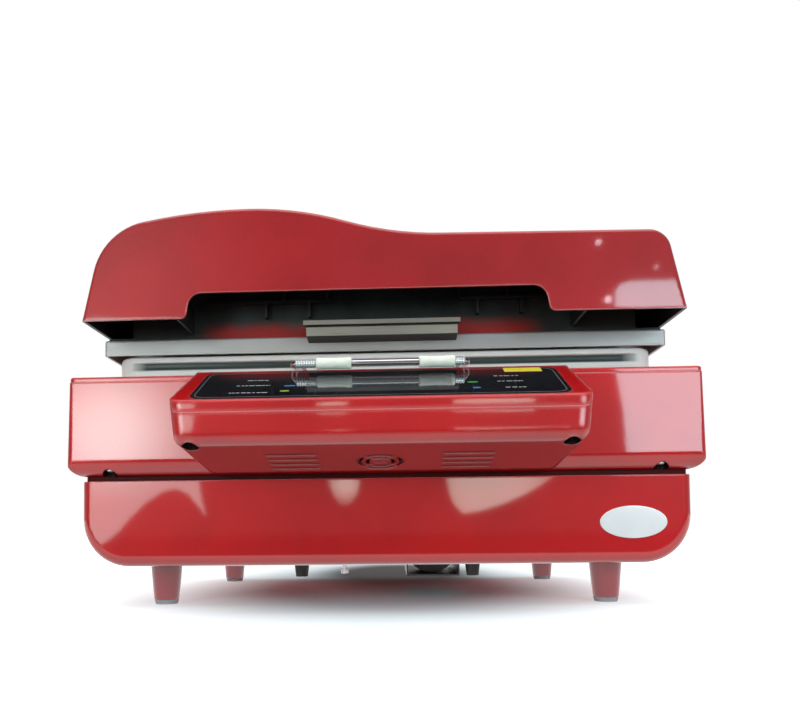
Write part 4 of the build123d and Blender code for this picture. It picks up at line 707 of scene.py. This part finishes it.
def makeThreads():
    v = threadValues
    y, z = sleeveValues["bar"]
    made = []
    for low, high in v["spans"]:
        profile = [(v["root"] - 0.4 * mm, 0)]
        height = 0.0
        while height < high - low:
            profile += [(v["root"], height), (v["crest"], height + 0.35 * v["pitch"]),
                        (v["crest"], height + 0.6 * v["pitch"]), (v["root"], height + 0.95 * v["pitch"])]
            height += v["pitch"]
        profile.append((v["root"] - 0.4 * mm, height))
        points, faces = lathe(profile, (1, 0, 0), (low, y, z), 28)
        made.append(meshPiece("bar_end_thread", points, faces, finishes["brightZinc"]))
    threads = joinPieces(made, "bar_end_threads")
    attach(threads, "membrane_frame")


makeThreads()


# housing screws: pan heads with a cross recess, seen up their wells
screwValues = {"radius": 4.5 * mm, "height": 3.4 * mm, "slotDepth": 1.9 * mm,
               "centres": [(-260, -186, 134.6), (260, -186, 134.6), (-160, -270, 152.3), (160, -270, 152.3)]}


def boxPoints(low, high):
    points = [Vector((x, y, z)) for x in (low[0], high[0]) for y in (low[1], high[1]) for z in (low[2], high[2])]
    faces = [(0, 1, 3, 2), (4, 6, 7, 5), (0, 4, 5, 1), (2, 3, 7, 6), (0, 2, 6, 4), (1, 5, 7, 3)]
    return points, faces


def makeScrews():
    v = screwValues
    made = []
    for x, y, z in v["centres"]:
        top = z * mm
        profile = [(v["radius"], 0), (v["radius"], -1.2 * mm), (0.92 * v["radius"], -2.2 * mm),
                   (0.7 * v["radius"], -3.0 * mm), (0.35 * v["radius"], -3.35 * mm), (0.05 * v["radius"], -v["height"])]
        points, faces = lathe(profile, (0, 0, 1), (x * mm, y * mm, top), 36)
        head = meshPiece("screw_head", points, faces, finishes["brightZinc"])
        cutters = []
        for wide, deep in ((0.62, 0.12), (0.12, 0.62)):
            reachX, reachY = wide * v["radius"], deep * v["radius"]
            points, faces = boxPoints((x * mm - reachX, y * mm - reachY, top - v["height"] - 1 * mm),
                                      (x * mm + reachX, y * mm + reachY, top - v["height"] + v["slotDepth"]))
            cutters.append(meshPiece("cross_cutter", points, faces, finishes["brightZinc"], smooth=False))
        for cutter in cutters:
            cut = head.modifiers.new("cut", "BOOLEAN")
            cut.object = cutter
            cut.operation = "DIFFERENCE"
            cut.solver = "EXACT"
        applyModifiers(head)
        for cutter in cutters:
            bpy.data.objects.remove(cutter)
        sharpByAngle(head, 30)
        made.append(head)
    screws = joinPieces(made, "cross_head_screws")
    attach(screws, "base")
    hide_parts("housing_screws")


makeScrews()
print("stage: sleeves, threads and screws made")


# print on the control panel, in mm along and up its slope
panelValues = {
    "middle": (0, -238 * mm, 203.25 * mm), "slope": math.atan2(40.5, 84), "film": 0.3 * mm, "ink": 0.06 * mm,
    "outline": (157.5, 39.5, 9.5, 0.55),
    "whiteMarks": [(-109.5, 13.5, 19, 2.4), (-111, -4, 30, 2.6), (-112, -27, 33, 2.8),
                   (113, 14, 22, 2.4), (114, -4, 22, 2.6), (117, -24, 19, 2.8)],
    "blueMarks": [(-78.5, -6.5, 10, 3.4), (83.3, -23.5, 7, 3.6)],
    "greenMarks": [(81.5, -5, 9, 3.4)],
    "limeMarks": [(-81, -23, 8, 3.6)],
    "label": (130.5, 34.5, 34, 13),
}


def panelPoint(u, v, lift):
    slope = panelValues["slope"]
    upward = Vector((0, math.cos(slope), math.sin(slope)))
    outward = Vector((0, -math.sin(slope), math.cos(slope)))
    return Vector(panelValues["middle"]) + Vector((u * mm, 0, 0)) + upward * v * mm + outward * lift


def roundedOutline(width, height, corner, steps=6):
    points = []
    for x, y, start in ((1, -1, -90), (1, 1, 0), (-1, 1, 90), (-1, -1, 180)):
        for step in range(steps + 1):
            angle = math.radians(start + 90 * step / steps)
            points.append((x * (width / 2 - corner) + corner * math.cos(angle),
                           y * (height / 2 - corner) + corner * math.sin(angle)))
    return points


def inkPiece(name, outlines, finish, low, high):
    points, faces = [], []
    for outline in outlines:
        start, count = len(points), len(outline)
        points += [panelPoint(u, v, low) for u, v in outline] + [panelPoint(u, v, high) for u, v in outline]
        faces.append(tuple(range(start + count - 1, start - 1, -1)))
        faces.append(tuple(range(start + count, start + 2 * count)))
        for index in range(count):
            after = (index + 1) % count
            faces.append((start + index, start + after, start + count + after, start + count + index))
    return meshPiece(name, points, faces, finishes[finish], "base", smooth=False)


def brokenBar(centreU, centreV, width, height, seed):
    # a row of short blocks: the rhythm of a printed word with nothing to read
    chance = random.Random(seed)
    blocks, at = [], centreU - width / 2
    while at < centreU + width / 2 - 0.8:
        run = min(chance.choice((2.2, 3.1, 4.0, 5.2)), centreU + width / 2 - at)
        blocks.append([(at + x + run / 2, centreV + y) for x, y in roundedOutline(run, height * 0.55, 0.3, 2)])
        at += run + chance.choice((0.7, 0.9, 1.6))
    return blocks


def makePanelPrint():
    v = panelValues
    base, top = v["film"] - 0.04 * mm, v["film"] + v["ink"]
    halfU, halfV, corner, line = v["outline"]
    outer = roundedOutline(2 * halfU, 2 * halfV, corner, 10)
    inner = roundedOutline(2 * halfU - 2 * line, 2 * halfV - 2 * line, corner - line, 10)
    points, faces = [], []
    for lift in (base, top):
        for outline in (outer, inner):
            points += [panelPoint(u, w, lift) for u, w in outline]
    count = len(outer)
    for index in range(count):
        after = (index + 1) % count
        rings = [0, count, 3 * count, 2 * count]
        for first, second in zip(rings, rings[1:] + rings[:1]):
            faces.append((first + index, first + after, second + after, second + index))
    meshPiece("panel_outline", points, faces, finishes["greyInk"], "base", smooth=False)
    words = [block for seed, mark in enumerate(v["whiteMarks"]) for block in brokenBar(*mark, seed)]
    inkPiece("panel_key_marks", words, "whiteInk", base, top)
    for name, key, ink in (("panel_blue_keys", "blueMarks", "blueInk"), ("panel_green_key", "greenMarks", "greenInk"),
                           ("panel_lime_key", "limeMarks", "limeInk")):
        shapes = [[(u + x, w + y) for x, y in roundedOutline(width, height, height / 2 - 0.2)]
                  for u, w, width, height in v[key]]
        inkPiece(name, shapes, ink, base, top)
    u, w, width, height = v["label"]
    inkPiece("panel_yellow_label", [[(u + x, w + y) for x, y in roundedOutline(width, height, 0.8, 3)]],
             "yellowPaper", base, v["film"] + 0.22 * mm)


makePanelPrint()


# blank oval plate on the lower housing, in mm
badgeValues = {"middle": (234.6, -184, 78.4), "halfWidth": 30.9, "halfHeight": 15.2, "thick": 0.9, "steps": 72}


def makeBadge():
    v = badgeValues
    x, y, z = v["middle"]
    rings = [(1.0, -0.3), (1.0, 0.35), (0.985, 0.62), (0.955, 0.74), (0.9, 0.8), (0.7, 0.86), (0.35, v["thick"])]
    points, faces = [], []
    for share, lift in rings:
        shrink = (1 - share) * v["halfHeight"]
        for step in range(v["steps"]):
            angle = 2 * math.pi * step / v["steps"]
            points.append(((x + (v["halfWidth"] - shrink) * math.cos(angle)) * mm, (y - lift) * mm,
                           (z + (v["halfHeight"] - shrink) * math.sin(angle)) * mm))
    for ring in range(len(rings) - 1):
        for step in range(v["steps"]):
            side = (step + 1) % v["steps"]
            faces.append((ring * v["steps"] + step, ring * v["steps"] + side,
                          (ring + 1) * v["steps"] + side, (ring + 1) * v["steps"] + step))
    faces.append(tuple(range(v["steps"])))
    faces.append(tuple(range((len(rings) - 1) * v["steps"], len(rings) * v["steps"])))
    badge = meshPiece("blank_oval_plate", points, faces, finishes["whiteVinyl"], "base")
    sharpByAngle(badge, 40)


makeBadge()
print("stage: panel print and oval plate made")


# a lamp is a glowing card that the camera doesn't see
def emitter(name, points, faces, strength, colour, fade=None):
    material, tree, output, place = newMaterial(name)
    glow = addNode(tree, "ShaderNodeEmission", {"Color": toLinear(colour), "Strength": strength})
    if fade:
        centre, inner, outer, rim = fade
        gap = addNode(tree, "ShaderNodeVectorMath", {"operation": "DISTANCE", 1: centre},
                      {0: place.outputs["Object"]})
        level = addNode(tree, "ShaderNodeMapRange", {"interpolation_type": "SMOOTHSTEP", 1: inner, 2: outer,
                                                     3: strength, 4: strength * rim}, {0: gap.outputs["Value"]})
        tree.links.new(level.outputs[0], glow.inputs["Strength"])
    tree.links.new(glow.outputs[0], output.inputs[0])
    card = meshPiece(name, points, faces, material, smooth=False)
    card.visible_camera = False
    card.visible_transmission = False
    return card


# lamp shapes are (x, z) outlines in mm on an upright plane in front of the machine, fades are (centre, inner,
# outer, share left at the rim)
studio = {
    "plane": -1.5,
    "umbrella": {"outline": [(-1350, 0), (-829, 8), (-772, 43), (-742, 64), (-694, 118), (-652, 156), (-611, 180),
                             (-575, 187), (-542, 171), (-515, 138), (-494, 108), (-507, 157), (-515, 209),
                             (-480, 330), (-475, 420), (-500, 520), (-560, 610), (-760, 650), (-1350, 640)],
                 "strength": 13.8, "colour": "#D2ECEA", "fade": ((-765, 395), 20, 270, 0.36)},
    "box": {"outline": [(622, 262), (618, 342), (612, 448), (597, 546), (596, 690), (610, 708), (640, 716),
                        (1900, 716), (1900, 262)],
            "strength": 8.4, "colour": "#C4E6EF", "fade": None},
    "cardLeft": {"outline": [(-168, 212), (-152, 164), (-130, 136), (-102, 142), (-84, 175), (-80, 212)],
                 "strength": 6.6, "colour": "#DDEEDF", "fade": ((-118, 195), 12, 62, 0.25)},
    "cardLeftHigh": {"outline": [(-176, 356), (-104, 354), (-84, 430), (-176, 430)],
                     "strength": 5.4, "colour": "#DDEEDF", "fade": ((-135, 372), 10, 60, 0.35)},
    "cardRight": {"outline": [(148, 226), (156, 176), (168, 138), (192, 111), (240, 118), (293, 134), (346, 155),
                              (389, 178), (430, 206), (430, 226)],
                  "strength": 6.4, "colour": "#D6ECE0", "fade": ((270, 190), 60, 190, 0.55)},
    "cardRightHigh": {"outline": [(157, 358), (350, 355), (350, 430), (157, 430)],
                      "strength": 6.2, "colour": "#D6ECE0", "fade": ((270, 370), 40, 160, 0.6)},
    "glow": {"outline": [(-1500, 620), (-150, 620), (-150, 1700), (-1500, 1700)],
             "strength": 0.8, "colour": "#FFF3EE", "fade": ((-950, 760), 150, 720, 0.32)},
    # small bare bulbs, seen as sparkles on the hood: x, z and radius
    "bulbs": [(556, 821, 7), (578, 668, 9), (704, 752, 4)], "bulbStrength": 15.0, "bulbSteps": 16,
    "ceiling": ((-1.0, -0.7), (1.0, 1.1), 1.9, 1.3),
    "strip": ((-0.65, -0.85), (0.75, -0.5), 1.3, 3.2),
    # the machine's shadow on the paper: where it is full, and where the paper reads as plain white; tint is a cyan-grey
    # painted on the paper near the machine against the housing's red light
    "shade": {"centre": (0.0, 0.05), "side": 0.30, "front": 0.46, "back": 1.5, "full": 0.38, "clear": 1.04,
              "lift": 0.58, "beyond": (1.0, 1.6), "tint": "#A8E0E4", "tintFull": 0.1, "tintBack": 0.45,
              "plain": "#DEECF2"},
    # painted shadow: the paper is painted deep grey under and behind the middle of the machine
    "bellyShadow": {"centre": (0.015, 0.37), "reach": (0.17, 0.43), "full": 0.45, "clear": 1.0, "grey": "#4A4B4A"},
    # the paper ends in front of the table, and the room behind the camera is dim
    "paperEnd": (-0.95, -0.4), "roomDark": 0.05, "paperBright": 1.35, "paperReach": 9.0,
    "paperThrows": "#454648",
    "skyDiffuse": 0.8, "skyDim": 0.26, "skyAbove": 0.75, "skyBehind": 0.45,
}


def makeStudio():
    v = studio
    for name in ("umbrella", "box", "cardLeft", "cardLeftHigh", "cardRight", "cardRightHigh", "glow"):
        lamp = v[name]
        points = [Vector((x * mm, v["plane"], z * mm)) for x, z in lamp["outline"]]
        fade = lamp["fade"]
        if fade:
            (x, z), inner, outer, rim = fade
            fade = ((x * mm, v["plane"], z * mm), inner * mm, outer * mm, rim)
        emitter(f"lamp_{name}", points, [tuple(range(len(points)))], lamp["strength"], lamp["colour"], fade)
    points, faces = [], []
    for x, z, radius in v["bulbs"]:
        turns = [2 * math.pi * step / v["bulbSteps"] for step in range(v["bulbSteps"])]
        faces.append(tuple(range(len(points), len(points) + len(turns))))
        points += [Vector(((x + radius * math.cos(turn)) * mm, v["plane"], (z + radius * math.sin(turn)) * mm))
                   for turn in turns]
    emitter("lamp_bulbs", points, faces, v["bulbStrength"], "#F0E6F2")
    for name in ("ceiling", "strip"):
        (x0, y0), (x1, y1), z, strength = v[name]
        points = [Vector((x0, y0, z)), Vector((x1, y0, z)), Vector((x1, y1, z)), Vector((x0, y1, z))]
        emitter(f"lamp_{name}", points, [(3, 2, 1, 0)], strength, "#FFFFFF")

    # white paper to the eye and in reflections near the machine; the light it throws back up is kept low
    shade = v["shade"]
    material, tree, output, place = newMaterial("paperSweep")
    rays = addNode(tree, "ShaderNodeLightPath")
    mirrored = addNode(tree, "ShaderNodeMath", {"operation": "MAXIMUM"},
                       {0: rays.outputs["Is Glossy Ray"], 1: rays.outputs["Is Transmission Ray"]}).outputs[0]
    spot = addNode(tree, "ShaderNodeSeparateXYZ", links={0: place.outputs["Object"]})
    centreX, centreY = shade["centre"]
    sideways = addNode(tree, "ShaderNodeMath", {"operation": "MULTIPLY"},
                       {0: addNode(tree, "ShaderNodeMath", {"operation": "SUBTRACT"},
                                   {0: spot.outputs[0], 1: centreX}).outputs[0], 1: 1 / shade["side"]}).outputs[0]
    behind = addNode(tree, "ShaderNodeMath", {"operation": "SUBTRACT"}, {0: spot.outputs[1], 1: centreY}).outputs[0]
    lengthways = addNode(tree, "ShaderNodeMath", {"operation": "MAXIMUM"},
                         {0: addNode(tree, "ShaderNodeMath", {"operation": "MULTIPLY"},
                                     {0: behind, 1: 1 / shade["back"]}).outputs[0],
                          1: addNode(tree, "ShaderNodeMath", {"operation": "MULTIPLY"},
                                     {0: behind, 1: -1 / shade["front"]}).outputs[0]}).outputs[0]
    away = planeDistance(tree, sideways, lengthways)
    near = addNode(tree, "ShaderNodeMapRange", {"interpolation_type": "SMOOTHSTEP", 1: shade["full"],
                                                2: shade["clear"], 3: 0.0, 4: shade["lift"]}, {0: away})
    far = addNode(tree, "ShaderNodeMapRange", {"interpolation_type": "SMOOTHSTEP", 1: shade["beyond"][0],
                                               2: shade["beyond"][1], 3: 0.0, 4: 0.5}, {0: away})
    seen = addNode(tree, "ShaderNodeMath", {"operation": "MULTIPLY"},
                   {0: rays.outputs["Is Camera Ray"],
                    1: addNode(tree, "ShaderNodeMath", {"operation": "ADD"},
                               {0: near.outputs[0], 1: far.outputs[0]}).outputs[0]}).outputs[0]
    ahead = addNode(tree, "ShaderNodeMapRange", {"interpolation_type": "SMOOTHSTEP", 1: v["paperEnd"][0],
                                                 2: v["paperEnd"][1], 3: v["roomDark"], 4: v["paperBright"]},
                    {0: spot.outputs[1]})
    # the housing throws red light on the paper; the paper near the machine is painted cyan-grey to take it out
    redward = addNode(tree, "ShaderNodeMath", {"operation": "MAXIMUM"},
                      {0: addNode(tree, "ShaderNodeMath", {"operation": "MULTIPLY"},
                                  {0: behind, 1: 1 / shade["tintBack"]}).outputs[0],
                       1: addNode(tree, "ShaderNodeMath", {"operation": "MULTIPLY"},
                                  {0: behind, 1: -1 / shade["front"]}).outputs[0]}).outputs[0]
    reddened = planeDistance(tree, sideways, redward)
    plain = addNode(tree, "ShaderNodeMapRange", {1: shade["tintFull"], 2: shade["clear"]}, {0: reddened})
    tint = addNode(tree, "ShaderNodeMix", {"data_type": "RGBA"},
                   {0: plain.outputs[0], 6: toLinear(shade["tint"]), 7: toLinear(shade["plain"])}).outputs[2]
    # painted shadow: the paper seen by the camera turns deep grey under and behind the machine
    bellyShadow = v["bellyShadow"]
    offsets = []
    for axis in (0, 1):
        offset = addNode(tree, "ShaderNodeMath", {"operation": "SUBTRACT"},
                         {0: spot.outputs[axis], 1: bellyShadow["centre"][axis]}).outputs[0]
        offsets.append(addNode(tree, "ShaderNodeMath", {"operation": "MULTIPLY"},
                               {0: offset, 1: 1 / bellyShadow["reach"][axis]}).outputs[0])
    paler = addNode(tree, "ShaderNodeMapRange", {"interpolation_type": "SMOOTHSTEP", 1: bellyShadow["full"],
                                                 2: bellyShadow["clear"]}, {0: planeDistance(tree, *offsets)})
    tint = addNode(tree, "ShaderNodeMix", {"data_type": "RGBA"},
                   {0: paler.outputs[0], 6: toLinear(bellyShadow["grey"]), 7: tint}).outputs[2]
    colour = addNode(tree, "ShaderNodeMix", {"data_type": "RGBA"},
                     {0: rays.outputs["Is Diffuse Ray"], 6: tint, 7: toLinear(v["paperThrows"])}).outputs[2]
    colour = addNode(tree, "ShaderNodeMix", {"data_type": "RGBA"},
                     {0: mirrored, 6: colour, 7: toLinear("#000000")}).outputs[2]
    inMirror = addNode(tree, "ShaderNodeMath", {"operation": "MULTIPLY"},
                       {0: mirrored, 1: ahead.outputs[0]}).outputs[0]
    glow = addNode(tree, "ShaderNodeMath", {"operation": "MAXIMUM"}, {0: seen, 1: inMirror}).outputs[0]
    paper = addNode(tree, "ShaderNodeBsdfPrincipled", {"Roughness": 0.8, "Emission Color": (1, 1, 1, 1)},
                    {"Base Color": colour, "Emission Strength": glow})
    tree.links.new(paper.outputs[0], output.inputs[0])
    reach = v["paperReach"]
    points = [Vector((-reach, -reach, 0)), Vector((reach, -reach, 0)), Vector((reach, reach, 0)),
              Vector((-reach, reach, 0))]
    floor = meshPiece("paper_floor", points, [(0, 1, 2, 3)], material, smooth=False)

    world = bpy.data.worlds.new("studio")
    bpy.context.scene.world = world
    world.use_nodes = True
    tree = world.node_tree
    tree.nodes.clear()
    output = addNode(tree, "ShaderNodeOutputWorld")
    rays = addNode(tree, "ShaderNodeLightPath")
    way = addNode(tree, "ShaderNodeTexCoord")
    toward = addNode(tree, "ShaderNodeSeparateXYZ", links={0: way.outputs["Generated"]})
    # the paper is behind the object; the room on the camera's side is dim
    paperSide = addNode(tree, "ShaderNodeMapRange", {"interpolation_type": "SMOOTHSTEP", 1: -0.35, 2: 0.25,
                                                     3: v["skyDim"], 4: v["skyBehind"]}, {0: toward.outputs[1]})
    above = addNode(tree, "ShaderNodeMapRange", {"interpolation_type": "SMOOTHSTEP", 1: 0.45, 2: 0.8,
                                                 3: 0.0, 4: v["skyAbove"]}, {0: toward.outputs[2]})
    glossy = addNode(tree, "ShaderNodeMath", {"operation": "MULTIPLY"},
                     {0: rays.outputs["Is Glossy Ray"],
                      1: addNode(tree, "ShaderNodeMath", {"operation": "MAXIMUM"},
                                 {0: paperSide.outputs[0], 1: above.outputs[0]}).outputs[0]}).outputs[0]
    seen = addNode(tree, "ShaderNodeMath", {"operation": "MAXIMUM"},
                   {0: rays.outputs["Is Camera Ray"], 1: rays.outputs["Is Transmission Ray"]}).outputs[0]
    diffuse = addNode(tree, "ShaderNodeMath", {"operation": "MULTIPLY"},
                      {0: rays.outputs["Is Diffuse Ray"], 1: v["skyDiffuse"]}).outputs[0]
    level = addNode(tree, "ShaderNodeMath", {"operation": "MAXIMUM"},
                    {0: seen,
                     1: addNode(tree, "ShaderNodeMath", {"operation": "MAXIMUM"},
                                {0: glossy, 1: diffuse}).outputs[0]}).outputs[0]
    sky = addNode(tree, "ShaderNodeBackground", {"Color": (1, 1, 1, 1)}, {"Strength": level})
    tree.links.new(sky.outputs[0], output.inputs[0])


makeStudio()

cameraValues = {"place": (0.0124924, -0.90966, 0.074945), "yaw": 0.0453, "pitch": 0.0382, "roll": 0.0102,
                "lens": 34.497, "shiftX": 0.05, "shiftY": 0.17}


def makeCamera():
    v = cameraValues
    yaw, pitch, roll = v["yaw"], v["pitch"], v["roll"]
    ahead = Vector((-math.sin(yaw) * math.cos(pitch), math.cos(yaw) * math.cos(pitch), math.sin(pitch)))
    level = Vector((math.cos(yaw), math.sin(yaw), 0))
    upward = level.cross(ahead)
    right = level * math.cos(roll) - upward * math.sin(roll)
    top = level * math.sin(roll) + upward * math.cos(roll)
    data = bpy.data.cameras.new("camera")
    data.lens, data.sensor_width = v["lens"], 36.0
    data.shift_x, data.shift_y = v["shiftX"], v["shiftY"]
    data.clip_start, data.clip_end = 0.01, 50
    camera = bpy.data.objects.new("camera", data)
    bpy.context.scene.collection.objects.link(camera)
    turn = Matrix((right, top, -ahead)).transposed().to_4x4()
    camera.matrix_world = Matrix.Translation(v["place"]) @ turn
    bpy.context.scene.camera = camera


makeCamera()
bpy.context.scene.view_settings.view_transform = "Standard"
print("stage: studio and camera ready")
